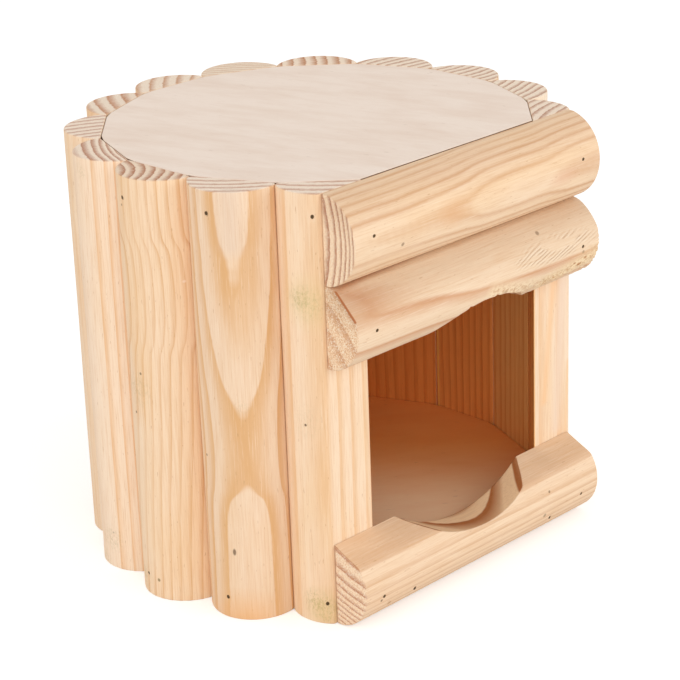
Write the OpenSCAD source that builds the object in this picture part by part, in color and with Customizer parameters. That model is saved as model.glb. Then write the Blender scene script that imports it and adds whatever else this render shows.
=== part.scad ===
/* [House] */
// Height of the house, from the floor it stands on to the roof
house_h = 120; // [100:1:150]
// Width of the roof and floor panels across their flats
panel_d = 117.6; // [108:0.2:130]
// Thickness of the roof and floor panels
panel_t = 12; // [9:0.5:15]
// Chord that the doorway takes out of the ring of slats
door_chord = 63.4; // [56:0.2:72]

/* [Half-round slats] */
// Thickness of a slat, from its flat back to its crown
slat_t = 11.2; // [9:0.1:13]
// Height of the square edge on each side of a slat
slat_land = 1.5; // [0.5:0.1:2.5]
// Depth of the inner corner that is planed off the two jamb slats
jamb_trim = 1.1; // [0.5:0.1:1.6]

/* [Front rails] */
// Thickness of a rail, from its flat back to its crown
rail_t = 11.5; // [10:0.1:13]
// Height of the square edge on each side of a rail
rail_land = 2; // [1:0.1:3]
// Distance from the end of a rail to the outer edge of the jamb
rail_inset = 0.9; // [0.2:0.1:2]
// Height of the top rail
top_rail_h = 24.5; // [22:0.1:28]
// Height of the arch rail
arch_rail_h = 22.5; // [21:0.1:26]
// Height of the sill rail
sill_rail_h = 23.1; // [21:0.1:26]

/* [Planed bevels] */
// Distance from the back of the arch rail to where its bevel starts
arch_bevel_back = 3.6; // [2.5:0.1:5]
// Slope of the arch rail's bevel, in degrees
arch_bevel_slope = 45; // [35:1:50]
// Slope of the sill rail's bevel, in degrees
sill_bevel_slope = 25; // [15:1:30]

/* [Arch and scoop] */
// Width of the arch at the lower edge of the arch rail
arch_w = 43; // [36:0.5:50]
// Rise of the arch above the lower edge of the arch rail
arch_rise = 7; // [5:0.1:9]
// Distance from the middle of the doorway to the middle of the arch
arch_shift = 2; // [0:0.1:4]
// Width of the scoop at the upper edge of the sill rail
scoop_w = 51; // [44:0.5:56]
// Depth of the scoop below the upper edge of the sill rail
scoop_depth = 8; // [5:0.1:10]

/* [Brads] */
// Diameter of a brad's shank
brad_d = 1; // [0.8:0.1:1.4]
// Diameter of a brad's head
brad_head_d = 1.3; // [1.3:0.1:1.8]
// Height of a brad's head
brad_head_h = 0.8; // [0.6:0.1:1.2]
// Length of a brad from head to tip
brad_l = 16; // [14:0.5:17]
// Depth of a brad's head below the wood around it
brad_sink = 0.4; // [0.2:0.1:0.8]
// Distance from a slat's middle to its brads, on the side away from the door
brad_offset = 3; // [2:0.1:5]
// Depth of the top rail's brads below the roof
top_brad_drop = 10.7; // [9:0.1:14]
// Height of the brads that hold the sill rail to the jambs
sill_brad_z = 9; // [7:0.1:12]
// Distance from the middle of the doorway to the brads into the floor panel
floor_brad_x = 28.5; // [20:0.5:30]

/* [Clearances] */
// Gap between the front edge of a panel and the rails
panel_gap = 0.3; // [0.1:0.1:0.6]
// Gap left where two slats meet at a corner of a panel
corner_gap = 0.6; // [0.3:0.1:1]
// Gap all round a brad in its hole
brad_gap = 0.02; // [0.01:0.01:0.05]

/* [Hidden] */

pine = [0.93, 0.79, 0.6];
plywood = [0.93, 0.86, 0.79];
steel = [0.35, 0.33, 0.31];

slat_count = 13;
middle_slat = (slat_count + 1) / 2;
panel_r = panel_d / 2;
slat_pitch = (360 - 2 * asin(door_chord / panel_d)) / slat_count;
slat_w = panel_d * tan(slat_pitch / 2);
corner_r = panel_r / cos(slat_pitch / 2);
jamb_angle = (slat_count - 1) / 2 * slat_pitch;
corner_angle = slat_count / 2 * slat_pitch;
// Distance from the axis to the front plane, where the jambs are planed and the rails' backs lie
front_plane = -corner_r * cos(corner_angle) - jamb_trim;

// The bow of a slat is part of a circle, whose middle lies crown_c from the house's axis
slat_bow_r = bow_r(slat_w, slat_t, slat_land);
crown_c = panel_r + slat_t - slat_bow_r;
// The planed face of a jamb lies between these two distances from the middle of the doorway
jamb_inner_x = (panel_r + front_plane * cos(jamb_angle)) / sin(jamb_angle);
jamb_outer_x = crown_c * sin(jamb_angle)
    + sqrt(pow(slat_bow_r, 2) - pow(front_plane + crown_c * cos(jamb_angle), 2));
jamb_mid_x = (jamb_inner_x + jamb_outer_x) / 2;
rail_l = 2 * (jamb_outer_x - rail_inset);
top_rail_z = house_h - top_rail_h;
arch_rail_z = top_rail_z - arch_rail_h;

// The origin is under the middle of the house's outer box
house_back = panel_r + slat_t;
house_front = front_plane + rail_t;
origin_y = (house_back - house_front) / 2;

// Length of a cutter, enough to pass right through a rail or a slat
cut_l = 60;
brad_tip_h = 1.5;
brad_tip_d = 0.2;
circle_fn = 96;
brad_fn = 24;

// Radius of the bow of a half-round moulding whose square edges are land high
function bow_r(w, t, land) = (w * w / 4 + pow(t - land, 2)) / (2 * (t - land));

// Thickness of a half-round moulding at the distance s from its middle
function depth_at(w, t, land, s) = t - bow_r(w, t, land) + sqrt(pow(bow_r(w, t, land), 2) - s * s);

// Radius of a circular cut that is w wide and h deep
function cut_r(w, h) = (w * w / 4 + h * h) / (2 * h);

// Angle of slat number i about the house's axis, clockwise from the back
function slat_angle(i) = (i - middle_slat) * slat_pitch;

// Sideways place of the brads in slat number i
function brad_side(i) = sign(middle_slat - i) * brad_offset;

// Everything is drawn about the panels' axis and then moved over the origin
module in_place() {
    translate([0, -origin_y, 0]) children();
}

// Outline of a half-round moulding, flat on the x axis
module half_round(w, t, land) {
    intersection() {
        translate([-w / 2, 0]) square([w, t]);
        translate([0, t - bow_r(w, t, land)]) circle(r = bow_r(w, t, land), $fn = circle_fn);
    }
}

// One brad with its head at the origin, driven along -Y
module brad() {
    rotate([90, 0, 0]) {
        cylinder(d = brad_head_d, h = brad_head_h, $fn = brad_fn);
        cylinder(d = brad_d, h = brad_l - brad_tip_h, $fn = brad_fn);
        translate([0, 0, brad_l - brad_tip_h])
            cylinder(d1 = brad_d, d2 = brad_tip_d, h = brad_tip_h, $fn = brad_fn);
    }
}

// The hole for one brad, open above the head
module brad_hole() {
    rotate([90, 0, 0]) {
        translate([0, 0, -slat_t])
            cylinder(d = brad_head_d + 2 * brad_gap, h = slat_t + brad_head_h, $fn = brad_fn);
        cylinder(d = brad_d + 2 * brad_gap, h = brad_l + brad_gap, $fn = brad_fn);
    }
}

// Puts its children at the head of the brad in slat number i, at height z
module at_slat_brad(i, z) {
    crown = depth_at(slat_w, slat_t, slat_land, brad_side(i));
    rotate([0, 0, -slat_angle(i)])
        translate([brad_side(i), panel_r + crown - brad_sink, z]) children();
}

// Puts its children at the head of a brad in a rail that is rail_h high and stands at rail_z
module at_rail_brad(x, z, rail_z, rail_h) {
    crown = depth_at(rail_h, rail_t, rail_land, z - rail_z - rail_h / 2);
    translate([x, -front_plane - crown + brad_sink, z]) rotate([0, 0, 180]) children();
}

// Places of the brads in each row
module in_roof_edge() {
    for (i = [1 : slat_count]) at_slat_brad(i, house_h - panel_t / 2) children();
}

module in_floor_edge() {
    for (i = [1 : slat_count]) at_slat_brad(i, panel_t / 2) children();
}

module in_top_rail() {
    for (side = [-1, 1])
        at_rail_brad(side * jamb_mid_x, house_h - top_brad_drop, top_rail_z, top_rail_h) children();
}

module in_arch_rail() {
    brad_z = arch_rail_z + arch_rail_h / 2;
    for (side = [-1, 1]) at_rail_brad(side * jamb_mid_x, brad_z, arch_rail_z, arch_rail_h) children();
}

module in_sill_rail() {
    for (side = [-1, 1]) at_rail_brad(side * jamb_mid_x, sill_brad_z, 0, sill_rail_h) children();
    for (side = [-1, 1]) at_rail_brad(side * floor_brad_x, panel_t / 2, 0, sill_rail_h) children();
}

// Outline of the roof and floor panels: flat against each slat, eased at the corners, straight at the door
module panel_outline() {
    corner_angles = [for (i = [0 : slat_count]) (i - slat_count / 2) * slat_pitch];
    intersection() {
        polygon([for (angle = corner_angles) corner_r * [sin(angle), cos(angle)]]);
        circle(r = corner_r - corner_gap, $fn = circle_fn);
        translate([-panel_d, panel_gap - front_plane]) square(2 * panel_d);
    }
}

module roof_panel() {
    color(plywood) in_place() difference() {
        translate([0, 0, house_h - panel_t]) linear_extrude(panel_t) panel_outline();
        in_roof_edge() brad_hole();
    }
}

module floor_panel() {
    color(plywood) in_place() difference() {
        linear_extrude(panel_t) panel_outline();
        in_floor_edge() brad_hole();
        in_sill_rail() brad_hole();
    }
}

// Slat number i, with its share of the brad holes; the two jamb slats are planed off at the front
module wall_slat(i) {
    color(pine) in_place() difference() {
        rotate([0, 0, -slat_angle(i)])
            translate([0, panel_r, 0]) linear_extrude(house_h) half_round(slat_w, slat_t, slat_land);
        at_slat_brad(i, house_h - panel_t / 2) brad_hole();
        at_slat_brad(i, panel_t / 2) brad_hole();
        if (i == 1 || i == slat_count) {
            translate([-panel_d, -front_plane - cut_l, -1]) cube([2 * panel_d, cut_l, house_h + 2]);
            in_top_rail() brad_hole();
            in_arch_rail() brad_hole();
            in_sill_rail() brad_hole();
        }
    }
}

// A rail's bar: its back is in the front plane, its foot at height 0
module rail_bar(h) {
    translate([-rail_l / 2, -front_plane, 0]) rotate([90, 0, 90]) linear_extrude(rail_l) difference() {
        translate([0, h / 2]) rotate(90) half_round(h, rail_t, rail_land);
        children();
    }
}

// What a plane takes off the upper front edge of a rail that is h high
module bevel_cut(h, back, slope) {
    translate([-back, h]) rotate(slope) translate([-cut_l, 0]) square(2 * cut_l);
}

// A round cut across a rail, centred at [x, z]
module round_cut(x, z, r) {
    translate([x, -front_plane + 1, z]) rotate([90, 0, 0]) cylinder(r = r, h = cut_l, $fn = circle_fn);
}

module top_rail() {
    color(pine) in_place() difference() {
        translate([0, 0, top_rail_z]) rail_bar(top_rail_h);
        in_top_rail() brad_hole();
    }
}

module arch_rail() {
    arch_r = cut_r(arch_w, arch_rise);
    color(pine) in_place() difference() {
        translate([0, 0, arch_rail_z])
            rail_bar(arch_rail_h) bevel_cut(arch_rail_h, arch_bevel_back, arch_bevel_slope);
        round_cut(arch_shift, arch_rail_z + arch_rise - arch_r, arch_r);
        in_arch_rail() brad_hole();
    }
}

module sill_rail() {
    scoop_r = cut_r(scoop_w, scoop_depth);
    color(pine) in_place() difference() {
        rail_bar(sill_rail_h) bevel_cut(sill_rail_h, 0, sill_bevel_slope);
        round_cut(0, sill_rail_h - scoop_depth + scoop_r, scoop_r);
        in_sill_rail() brad_hole();
    }
}

module roof_brads() {
    color(steel) in_place() in_roof_edge() brad();
}

module floor_brads() {
    color(steel) in_place() in_floor_edge() brad();
}

module top_rail_brads() {
    color(steel) in_place() in_top_rail() brad();
}

module arch_rail_brads() {
    color(steel) in_place() in_arch_rail() brad();
}

module sill_rail_brads() {
    color(steel) in_place() in_sill_rail() brad();
}

roof_panel();
floor_panel();
wall_slat(1);  // wall_slat_01
wall_slat(2);  // wall_slat_02
wall_slat(3);  // wall_slat_03
wall_slat(4);  // wall_slat_04
wall_slat(5);  // wall_slat_05
wall_slat(6);  // wall_slat_06
wall_slat(7);  // wall_slat_07
wall_slat(8);  // wall_slat_08
wall_slat(9);  // wall_slat_09
wall_slat(10);  // wall_slat_10
wall_slat(11);  // wall_slat_11
wall_slat(12);  // wall_slat_12
wall_slat(13);  // wall_slat_13
top_rail();
arch_rail();
sill_rail();
roof_brads();
floor_brads();
top_rail_brads();
arch_rail_brads();
sill_rail_brads();
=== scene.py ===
import logging
import math
from dataclasses import dataclass, field
from enum import Enum

import bpy
import numpy as np
from mathutils import Matrix


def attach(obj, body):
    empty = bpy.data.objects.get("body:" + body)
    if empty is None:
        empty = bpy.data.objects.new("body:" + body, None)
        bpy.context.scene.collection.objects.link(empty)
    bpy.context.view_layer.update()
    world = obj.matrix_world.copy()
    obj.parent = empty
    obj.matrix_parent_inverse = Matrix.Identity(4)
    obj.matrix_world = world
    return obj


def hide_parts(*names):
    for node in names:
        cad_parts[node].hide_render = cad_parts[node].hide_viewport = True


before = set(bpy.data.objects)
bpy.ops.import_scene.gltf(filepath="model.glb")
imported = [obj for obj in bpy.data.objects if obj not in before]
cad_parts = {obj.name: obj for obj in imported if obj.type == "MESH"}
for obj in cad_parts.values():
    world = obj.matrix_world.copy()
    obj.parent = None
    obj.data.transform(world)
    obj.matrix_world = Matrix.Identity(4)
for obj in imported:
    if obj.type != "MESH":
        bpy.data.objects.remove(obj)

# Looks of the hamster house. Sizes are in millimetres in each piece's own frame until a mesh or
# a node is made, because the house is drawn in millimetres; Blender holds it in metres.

LOG = logging.getLogger("hamster_house")
MM = 0.001
BODY = "root"

Rgb = tuple[float, float, float]
Point = tuple[float, float, float]
Curve = tuple[tuple[float, float], ...]
Socket = bpy.types.NodeSocket

# Least divisors, and how far short of a cut's edge a curve stops.
TINY = 1e-6
LEAST_COSINE = 1e-3
JUST_INSIDE = 1e-3

# Size of the table of random values behind a noise, and the seeds of the tears in the arch rail.
NOISE_CELLS = 64
TORN_COARSE_SEED = 31
TORN_FINE_SEED = 32

# Points of the sections and rings of the boards: flat backs, square edges, eased edges, the faces of
# the cuts, the boards' faces and edges, and the rings that close a bar's ends as shares of its section.
BACK_POINTS = 44
LAND_POINTS = 5
EASE_POINTS = 5
JAMB_BACK_POINTS = 40
JAMB_FACE_POINTS = 42
RAIL_BACK_POINTS = 34
RAIL_FACE_POINTS = 28
PANEL_FACE_RINGS = 26
PANEL_EDGE_RINGS = 6
BOW_STEPS = 4001
CAP_SCALES = np.array([0.05, 0.12, 0.2, 0.28, 0.36, 0.44, 0.52, 0.6, 0.68, 0.76, 0.84, 0.91, 0.97])

# Closer points round a brad: how far they reach, how many they are and how close two may stand.
CLUSTER_REACH = 1.3
CLUSTER_POINTS = 21
CLOSEST = 0.04

# What tools and hands left on the wood: depths in millimetres, and the ripple's turns in radians.
SKIN = 0.02
WAVE = 0.07
RIPPLE = 0.012
RIPPLE_TURNS = 2.1
RIPPLE_SKEW = 0.4
HOLE_SQUASH = 0.8
DENT = 0.1
DENT_REACH = 1.1
SAW_WANDER = 0.12
NICK_DEPTH = 0.55
THINNEST = 0.15

# The wood's figure: height of a bar's middle, how its rings differ in width and how ragged its ends
# are, where marks reach their full strength, how far tears go into the wood, and the wood's shine.
BAR_MIDDLE = 5
UNEVEN_SEED = 3.7
UNEVEN_CELLS = 0.4
RAGGED_REACH = 0.3
DOT_EDGE = 0.45
STAIN_EDGE = 0.8
TEAR_THROUGH = 50.0
WOOD_SHINE = 0.3


@dataclass(frozen=True)
class HouseSizes:
    """The driving sizes of the house, in millimetres, and what follows from them."""

    height: float = 120.0
    panel_across: float = 117.6
    panel_thick: float = 12.0
    door_chord: float = 63.4
    slat_count: int = 13
    slat_thick: float = 11.2
    slat_land: float = 1.5
    jamb_trim: float = 1.1
    rail_thick: float = 11.5
    rail_land: float = 2.0
    rail_inset: float = 0.9
    brad_offset: float = 3.0
    panel_gap: float = 0.3
    corner_gap: float = 0.6

    @property
    def panel_radius(self) -> float:
        """Distance from the axis to the flats of the panels."""
        return self.panel_across / 2

    @property
    def pitch(self) -> float:
        """Angle from one slat to the next, in radians."""
        return (2 * math.pi - 2 * math.asin(self.door_chord / self.panel_across)) / self.slat_count

    @property
    def slat_width(self) -> float:
        """Width of a slat's flat back."""
        return self.panel_across * math.tan(self.pitch / 2)

    @property
    def corner_radius(self) -> float:
        """Distance from the axis to the line where two slats meet."""
        return self.panel_radius / math.cos(self.pitch / 2)

    @property
    def front_plane(self) -> float:
        """Distance from the axis to the plane of the jambs and the backs of the rails."""
        return -self.corner_radius * math.cos(self.slat_count / 2 * self.pitch) - self.jamb_trim

    @property
    def axis_y(self) -> float:
        """Place of the panels' axis in the house's frame, whose origin is the middle of its box."""
        return (self.front_plane + self.rail_thick - self.panel_radius - self.slat_thick) / 2

    @property
    def jamb_mid(self) -> float:
        """Distance from the middle of the doorway to the middle of a jamb's planed face."""
        inner = self.panel_radius + self.front_plane * math.cos(self.jamb_angle)
        return (inner / math.sin(self.jamb_angle) + self.jamb_outer) / 2

    @property
    def jamb_angle(self) -> float:
        """Angle from the middle of the back to the middle of a jamb slat."""
        return (self.slat_count - 1) / 2 * self.pitch

    @property
    def jamb_outer(self) -> float:
        """Works out how far out a jamb's planed face reaches.

        Returns:
            Distance from the middle of the doorway to the outer edge of the face.
        """
        angle = self.jamb_angle
        bow = bow_radius(self.slat_width, self.slat_thick, self.slat_land)
        crown = self.panel_radius + self.slat_thick - bow
        behind = self.front_plane + crown * math.cos(angle)
        return crown * math.sin(angle) + math.sqrt(bow**2 - behind**2)

    @property
    def rail_length(self) -> float:
        """Length of the three rails."""
        return 2 * (self.jamb_outer - self.rail_inset)


def bow_radius(width: float, thick: float, land: float) -> float:
    """Radius of the bow of a half-round moulding.

    The bow is the circle through the tops of the two square edges and the crown:
    (width squared / 4 + rise squared) / (2 rise), with rise = thick - land.

    Args:
        width: Width of the flat back.
        thick: Thickness from the back to the crown.
        land: Height of the square edges.

    Returns:
        The radius in millimetres.
    """
    rise = thick - land
    return (width**2 / 4 + rise**2) / (2 * rise)


def bow_depth(across: np.ndarray, width: float, thick: float, land: float) -> np.ndarray:
    """Thickness of a half-round moulding at a distance from its middle.

    Args:
        across: Distances from the middle.
        width: Width of the flat back.
        thick: Thickness from the back to the crown.
        land: Height of the square edges.

    Returns:
        thick - radius + the square root of (radius squared - across squared).
    """
    radius = bow_radius(width, thick, land)
    return thick - radius + np.sqrt(np.maximum(radius**2 - across**2, 0.0))


def smooth_step(value: np.ndarray, low: float, high: float) -> np.ndarray:
    """Goes from 0 at low to 1 at high along 3 x squared - 2 x cubed."""
    x = np.clip((value - low) / (high - low), 0.0, 1.0)
    return x * x * (3 - 2 * x)


def soft_noise(u: np.ndarray, v: np.ndarray, seed: int) -> np.ndarray:
    """Smooth noise over a plane, about -1 to 1.

    Random values stand at whole numbers of u and v, and smooth steps join them.

    Args:
        u: First coordinate, in cells.
        v: Second coordinate, in cells.
        seed: Seed of the random values.

    Returns:
        The noise at each point.
    """
    table = np.random.default_rng(seed).uniform(-1, 1, (NOISE_CELLS, NOISE_CELLS))
    u0 = np.floor(u).astype(int)
    v0 = np.floor(v).astype(int)
    fu = smooth_step(u - u0, 0, 1)
    fv = smooth_step(v - v0, 0, 1)
    left, right = u0 % NOISE_CELLS, (u0 + 1) % NOISE_CELLS
    near, far = v0 % NOISE_CELLS, (v0 + 1) % NOISE_CELLS
    low = table[left, near] * (1 - fu) + table[right, near] * fu
    high = table[left, far] * (1 - fu) + table[right, far] * fu
    return low * (1 - fv) + high * fv


def with_clusters(low: float, high: float, step: float, centres: list[float]) -> np.ndarray:
    """Even positions from low to high, with finer ones round the given centres.

    Args:
        low: First position.
        high: Last position.
        step: Distance between the even positions.
        centres: Places of the brads, each of which gets a cluster of positions.

    Returns:
        The sorted positions, none closer than CLOSEST.
    """
    places = [np.linspace(low, high, max(2, round((high - low) / step) + 1))]
    places += [c + np.linspace(-CLUSTER_REACH, CLUSTER_REACH, CLUSTER_POINTS) for c in centres]
    merged = np.unique(np.clip(np.concatenate(places), low, high))
    keep = np.concatenate([[True], np.diff(merged) > CLOSEST])
    keep[-1] = True
    return merged[keep]


@dataclass(frozen=True)
class Placement:
    """Where a bar lies in the house: its three directions and its starting point in millimetres.

    across, out and along are unit vectors, right-handed in that order: along runs with the grain, out
    points away from the flat back and across lies in it.
    """

    across: Point
    out: Point
    along: Point
    start: Point

    @property
    def axes(self) -> np.ndarray:
        """The three directions as rows."""
        return np.array([self.across, self.out, self.along])

    def to_house(self, points: np.ndarray) -> np.ndarray:
        """Turns points (across, out, along) into points of the house's frame, in metres."""
        return (points @ self.axes + np.array(self.start)) * MM

    @classmethod
    def of_slat(cls, sizes: HouseSizes, number: int) -> "Placement":
        """Places a slat.

        Args:
            sizes: The house's sizes.
            number: 1 to 13, counted from the left jamb round the back.

        Returns:
            The slat's placement.
        """
        angle = (number - (sizes.slat_count + 1) / 2) * sizes.pitch
        out = (math.sin(angle), math.cos(angle), 0.0)
        start = (out[0] * sizes.panel_radius, out[1] * sizes.panel_radius + sizes.axis_y, 0.0)
        return cls((math.cos(angle), -math.sin(angle), 0.0), out, (0.0, 0.0, 1.0), start)

    @classmethod
    def of_rail(cls, sizes: HouseSizes, middle_z: float) -> "Placement":
        """Placement of a rail whose middle is at the height middle_z."""
        return cls((0, 0, 1), (0, -1, 0), (1, 0, 0), (0, sizes.axis_y - sizes.front_plane, middle_z))


def linear(colour: Rgb) -> tuple[float, float, float, float]:
    """A colour written as 0 to 255 screen values, as the linear values that a shader takes."""
    parts = [c / 255 for c in colour]
    return tuple(p / 12.92 if p <= 0.04045 else ((p + 0.055) / 1.055) ** 2.4 for p in parts) + (1.0,)


class Graph:
    """A material's node tree, with short ways to add what the finishes need."""

    def __init__(self, name: str) -> None:
        """Starts the material with one Principled shader.

        Args:
            name: Its name.
        """
        self.material = bpy.data.materials.new(name)
        self.material.use_nodes = True
        self.tree = self.material.node_tree
        self.tree.nodes.clear()
        self.output = self.tree.nodes.new("ShaderNodeOutputMaterial")
        self.shader = self.tree.nodes.new("ShaderNodeBsdfPrincipled")
        self.tree.links.new(self.shader.outputs[0], self.output.inputs[0])

    def put(self, socket: Socket, value: object) -> None:
        """Links a value to a socket if it is a socket too, and otherwise sets it there.

        Args:
            socket: The input.
            value: The socket, number, vector or colour for it.
        """
        if isinstance(value, Socket):
            self.tree.links.new(value, socket)
        else:
            socket.default_value = value

    def dress(self, **inputs: object) -> None:
        """Sets the shader's inputs, named with _ for each space."""
        for name, value in inputs.items():
            self.put(self.shader.inputs[name.replace("_", " ")], value)

    def maths(self, operation: str, *values: object, clamp: bool = False) -> Socket:
        """Adds a Math node.

        Args:
            operation: What it does.
            values: Its inputs in order, each a socket or a number.
            clamp: Whether the result is kept between 0 and 1.

        Returns:
            The result.
        """
        node = self.tree.nodes.new("ShaderNodeMath")
        node.operation = operation
        node.use_clamp = clamp
        for socket, value in zip(node.inputs, values):
            self.put(socket, value)
        return node.outputs[0]

    def plus(self, first: object, second: object) -> Socket:
        """first + second."""
        return self.maths("ADD", first, second)

    def minus(self, first: object, second: object, clamp: bool = False) -> Socket:
        """first - second, kept between 0 and 1 if clamp is set."""
        return self.maths("SUBTRACT", first, second, clamp=clamp)

    def times(self, first: object, second: object, clamp: bool = False) -> Socket:
        """first x second, kept between 0 and 1 if clamp is set."""
        return self.maths("MULTIPLY", first, second, clamp=clamp)

    def line(self, value: object, slope: float, start: object) -> Socket:
        """value x slope + start."""
        return self.maths("MULTIPLY_ADD", value, slope, start)

    def vector(self, operation: str, *values: object) -> Socket:
        """Adds a Vector Math node.

        Args:
            operation: What it does.
            values: Its inputs in order, each a socket or a vector.

        Returns:
            The result, a value for a length or a product and otherwise a vector.
        """
        node = self.tree.nodes.new("ShaderNodeVectorMath")
        node.operation = operation
        for socket, value in zip(node.inputs, values):
            self.put(socket, value)
        return node.outputs["Value" if operation in ("LENGTH", "DOT_PRODUCT") else "Vector"]

    def split(self, vector: Socket) -> tuple[Socket, Socket, Socket]:
        """Takes a vector apart.

        Args:
            vector: The vector.

        Returns:
            Its three parts.
        """
        node = self.tree.nodes.new("ShaderNodeSeparateXYZ")
        self.put(node.inputs[0], vector)
        return tuple(node.outputs)

    def coordinates(self, placement: Placement) -> Socket:
        """Object coordinates as the piece's own across, out and along, in millimetres.

        Args:
            placement: Where the piece lies.

        Returns:
            The coordinates.
        """
        node = self.tree.nodes.new("ShaderNodeMapping")
        self.put(node.inputs["Vector"], self.tree.nodes.new("ShaderNodeTexCoord").outputs["Object"])
        node.inputs["Scale"].default_value = (1 / MM,) * 3
        node.inputs["Rotation"].default_value = Matrix(placement.axes.tolist()).to_euler("XYZ")
        node.inputs["Location"].default_value = -(placement.axes @ np.array(placement.start))
        return node.outputs[0]

    def scaled(self, vector: Socket, scale: Point, shift: Point = (0, 0, 0)) -> Socket:
        """The vector stretched by scale and moved by shift."""
        return self.vector("ADD", self.vector("MULTIPLY", vector, scale), shift)

    def noise(self, vector: Socket, detail: float = 2.0, rough: float = 0.5, colour: bool = False) -> Socket:
        """Noise of one cell per unit of the vector.

        Args:
            vector: Where it is read.
            detail: Number of finer octaves.
            rough: Strength of each octave against the one before.
            colour: Whether three values are wanted in place of one.

        Returns:
            The noise.
        """
        node = self.tree.nodes.new("ShaderNodeTexNoise")
        self.put(node.inputs["Vector"], vector)
        node.inputs["Scale"].default_value = 1.0
        node.inputs["Detail"].default_value = detail
        node.inputs["Roughness"].default_value = rough
        return node.outputs[1 if colour else 0]

    def ramp(self, value: Socket, stops: list[tuple[float, float]]) -> Socket:
        """Straight lines through stops, level before the first and after the last.

        Args:
            value: What is looked up.
            stops: (value, result) pairs in rising order.

        Returns:
            The result.
        """
        node = self.tree.nodes.new("ShaderNodeValToRGB")
        self.put(node.inputs[0], value)
        elements = node.color_ramp.elements
        while len(elements) < len(stops):
            elements.new(0.5)
        for element, (place, level) in zip(elements, stops):
            element.position = place
            element.color = (level, level, level, 1.0)
        return node.outputs[0]

    def fade(self, value: Socket, empty: float, full: float, strength: float = 1.0) -> Socket:
        """A straight line from 0 where value is empty to strength where it is full, level beyond both."""
        return self.ramp(value, sorted([(empty, 0.0), (full, strength)]))

    def curve(self, value: Socket, points: Curve) -> Socket | float:
        """A smooth curve through points, level before the first and after the last.

        Args:
            value: What is looked up.
            points: (value, result) pairs in rising order.

        Returns:
            The result, 0 if there are no points.
        """
        if not points:
            return 0.0
        first, last = points[0][0], points[-1][0]
        low = min(p[1] for p in points)
        span = max(max(p[1] for p in points) - low, TINY)
        node = self.tree.nodes.new("ShaderNodeFloatCurve")
        spots = node.mapping.curves[0].points
        spots[0].location = (0.0, (points[0][1] - low) / span)
        spots[1].location = (1.0, (points[-1][1] - low) / span)
        for place, result in points[1:-1]:
            spots.new((place - first) / (last - first), (result - low) / span)
        node.mapping.update()
        part = self.maths("DIVIDE", self.minus(value, first), last - first, clamp=True)
        self.put(node.inputs["Value"], part)
        return self.line(node.outputs[0], span, low)

    def mix(self, amount: object, first: object, second: object, blend: str = "MIX") -> Socket:
        """Mixes two colours.

        Args:
            amount: 0 for the first and 1 for the second.
            first: The first colour.
            second: The second colour.
            blend: How the second is laid over the first.

        Returns:
            The mix.
        """
        node = self.tree.nodes.new("ShaderNodeMix")
        node.data_type = "RGBA"
        node.blend_type = blend
        self.put(node.inputs[0], amount)
        self.put(node.inputs[6], first)
        self.put(node.inputs[7], second)
        return node.outputs[2]

    def over(self, amount: object, under: object, colour: Rgb, blend: str = "MIX") -> Socket:
        """Lays a colour, written as 0 to 255, over another by an amount."""
        return self.mix(amount, under, linear(colour), blend)

    def attribute(self, name: str) -> Socket:
        """Reads a mesh attribute.

        Args:
            name: Its name.

        Returns:
            Its value.
        """
        node = self.tree.nodes.new("ShaderNodeAttribute")
        node.attribute_name = name
        return node.outputs["Fac"]

    def bump(self, height: Socket, depth: float) -> None:
        """Gives the shader a bump.

        Args:
            height: Its height, as a share of the depth.
            depth: Its depth in millimetres.
        """
        node = self.tree.nodes.new("ShaderNodeBump")
        node.inputs["Strength"].default_value = 1.0
        node.inputs["Distance"].default_value = depth * MM
        self.put(node.inputs["Height"], height)
        self.dress(Normal=node.outputs[0])


@dataclass(frozen=True)
class Noise:
    """Noise through the solid wood, of so many cells in a millimetre across, out and along.

    The piece's own origin lies at spot in it, and each part of that moves by seeded x the piece's seed.
    detail is the number of finer octaves and rough the strength of each against the one before.
    """

    cells: Point
    spot: Point = (0, 0, 0)
    seeded: Point = (0, 0, 0)
    detail: float = 2.0
    rough: float = 0.5


# What bends the rings, makes them ragged on the ends and stronger in places.
BEND = Noise((0.08, 0.08, 0.024), seeded=(1, 0, 0), detail=1.5)
RAGGED = Noise((0.6, 0.6, 0.3), (1, 0, 2), (0, 1, 0))
PATCH = Noise((0.09, 0.09, 0.02), (3, 0, 9), (0, 1, 0))

# Warm and pink patches, fibres and flecks of the faces, and cut fibres of the ends.
GLOW = Noise((0.11, 0.11, 0.022), (0, 5, 1), (1, 0, 0))
BLUSH = Noise((0.14, 0.14, 0.03), (8, 2, 0), (0, 0, 1), detail=1.0)
FIBRE = Noise((3.0, 3.0, 0.09), seeded=(0, 1, 0), detail=4.0, rough=0.65)
FLECK = Noise((2.8, 2.8, 0.45), (7, 0, 0), (0, 0, 1), detail=1.0)
END_FIBRE = Noise((3.0, 3.0, 2.0), seeded=(0, 0, 1), detail=3.0, rough=0.7)

# What bends the tears and cuts them short.
TEAR_BEND = Noise((0.12, 0.12, 0.12), (2, 0, 6), detail=1.0)
TEAR_BREAK = Noise((0.42, 0.42, 0.14), detail=1.0)

# Streaks, pores and flecks of the plywood.
BOARD_FIGURE = Noise((0.16, 0.3, 0.045), (4, 0, 0), detail=3.0, rough=0.6)
BOARD_PORES = Noise((3.5, 3.5, 0.22), rough=0.6)
BOARD_FLECK = Noise((1.4, 1.4, 0.25), (9, 1, 3), detail=1.0)


@dataclass(frozen=True)
class Layer:
    """A colour that comes in where a noise goes from empty to full, up to its strength."""

    noise: Noise
    empty: float
    full: float
    strength: float
    colour: Rgb


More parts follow.
